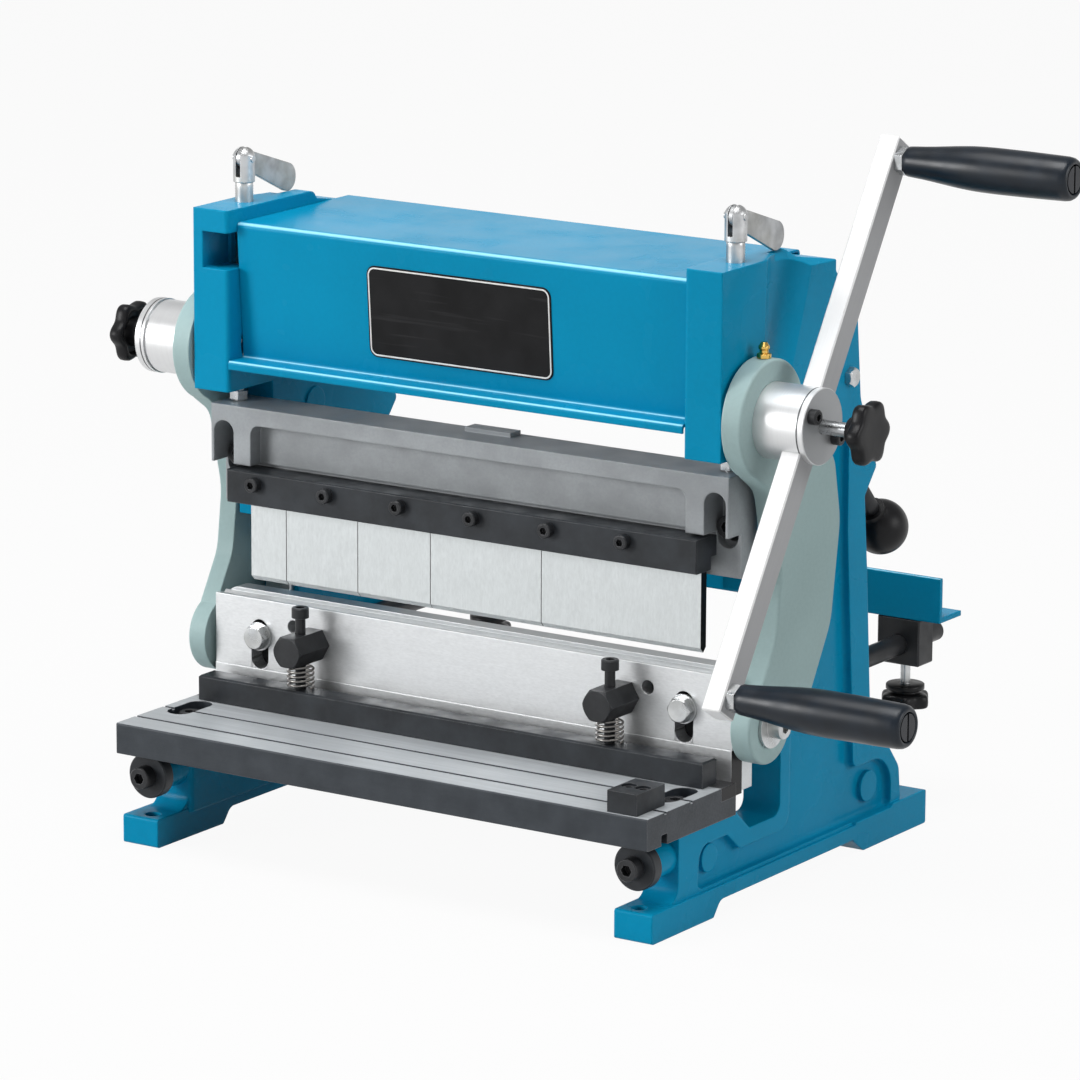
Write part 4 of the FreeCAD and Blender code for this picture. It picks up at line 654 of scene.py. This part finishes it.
def add_gauge_locks():
    """Six-lobed knobs with a collar under the gauge blocks, on a plated stud."""
    for side in ("left", "right"):
        node = "gauge_lock_" + side
        low, high = box(node)
        tip = Vector((centre(node).x, centre("gauge_blocks").y, low.z + LOCK_INSET))
        stud = threads(LOCK_STUD_START, (high.z - tip.z) * MM_PER_M, LOCK_STUD_RADIUS, LOCK_STUD_PITCH)
        bm = bmesh.new()
        rings(bm, LOCK_PROFILE, tip, UP, LOBES)
        rings(bm, stud, tip, UP, slot=1, sides=32)
        piece("gauge_grip_" + side, bm, ("knob_plastic", "zinc"), node, "knob_plastic", node)


def rounded(width, height, radius, steps=8):
    """Outline of a plate with round corners, counter-clockwise about its middle."""
    out = []
    for sx, sy, start in ((1, -1, -90), (1, 1, 0), (-1, 1, 90), (-1, -1, 180)):
        for i in range(steps + 1):
            a = math.radians(start + 90.0 * i / steps)
            x = sx * (width / 2 - radius) + radius * math.cos(a)
            out.append((x, sy * (height / 2 - radius) + radius * math.sin(a)))
    return out


def add_label():
    """Bare black plate with a pale border on the hood's leaning front."""
    across = Vector(RIGHT)
    up = Vector((0, -math.sin(HOOD_LEAN), math.cos(HOOD_LEAN)))
    out = across.cross(up)
    left, right = LABEL_X
    low, high = LABEL_Z
    foot_y, foot_z = HOOD_FOOT
    level = (high + low) / 2
    middle = Vector(((left + right) / 2, foot_y - (level - foot_z) * math.tan(HOOD_LEAN), level))
    width = right - left
    height = (high - low) / math.cos(HOOD_LEAN)
    bm = bmesh.new()
    loops = []
    for inset, proud, _ in LABEL_RIM:
        shape = rounded(width - 2 * inset, height - 2 * inset, LABEL_CORNER - inset)
        loops.append([bm.verts.new(middle + across * x + up * z + out * proud) for x, z in shape])
    for a, b, (_, _, look) in zip(loops, loops[1:], LABEL_RIM):
        for i in range(len(a)):
            j = (i + 1) % len(a)
            bm.faces.new((a[i], a[j], b[j], b[i])).material_index = look
    bm.faces.new(loops[-1])
    bm.faces.new(list(reversed(loops[0])))
    piece("label_plate", bm, ("label_black", "label_pale"), "frame", "knob_plastic")


add_star_knobs()
add_screw_threads()
add_grips()
add_slot_ends()
add_gauge_locks()
add_label()

# Studio
FLOOR_SIZE = 60.0
FLOOR_GREY = (0.55, 0.55, 0.55, 1.0)
WHITE = (1, 1, 1, 1)
WHITE_SHARE = 0.94
SKY = 0.25
HORIZON = 0.10
SKY_TOP = 0.45
TOP_LIGHT = 0.40
LAMP_AIM = Vector((0, 0, 0.2))
LAMPS = (
    ("top_light", (0.0, -0.45, 2.4), (1.7, 1.3), 50),
    ("key_light", (-1.9, -2.3, 0.9), (1.1, 1.1), 50),
    ("fill_light", (2.8, 0.5, 1.2), (1.4, 1.2), 24))


def add_lamp(name, place, size, power):
    data = bpy.data.lights.new(name, "AREA")
    data.shape = "RECTANGLE"
    data.size, data.size_y = size
    data.energy = power
    obj = bpy.data.objects.new(name, data)
    scene.collection.objects.link(obj)
    obj.location = place
    obj.rotation_euler = (LAMP_AIM - Vector(place)).to_track_quat("-Z", "Y").to_euler()


def add_floor():
    """Pale floor that reads as white and keeps a soft shadow of the object."""
    bpy.ops.mesh.primitive_plane_add(size=FLOOR_SIZE, location=(0, 0, 0))
    floor = bpy.context.object
    floor.name = "floor"
    t = Tree("pale_floor")
    t.set(Base_Color=FLOOR_GREY, Roughness=0.9, Specular_IOR_Level=0.05)
    white = t.add("ShaderNodeEmission")
    white.inputs[0].default_value = WHITE
    share = t.math("MULTIPLY", t.seen_directly(), WHITE_SHARE)
    t.mix_shaders(share, t.shader.outputs[0], white.outputs[0], t.out)
    floor.data.materials.append(t.material)


def add_world():
    """Even light, and a white backdrop that falls off upwards where it is seen directly."""
    world = bpy.data.worlds.new("studio")
    scene.world = world
    world.use_nodes = True
    t = Nodes(world.node_tree)
    out = t.add("ShaderNodeOutputWorld")
    sky = t.add("ShaderNodeBackground")
    sky.inputs[0].default_value = WHITE
    sky.inputs[1].default_value = SKY
    white = t.add("ShaderNodeBackground")
    white.inputs[0].default_value = WHITE
    split = t.add("ShaderNodeSeparateXYZ")
    t.link(t.add("ShaderNodeTexCoord").outputs["Generated"], split.inputs[0])
    t.link(t.spread(split.outputs[2], 1.0, TOP_LIGHT, HORIZON, SKY_TOP), white.inputs[1])
    t.mix_shaders(t.seen_directly(), sky.outputs[0], white.outputs[0], out)


add_floor()
add_world()
for lamp in LAMPS:
    add_lamp(*lamp)
scene.view_settings.view_transform = "Standard"
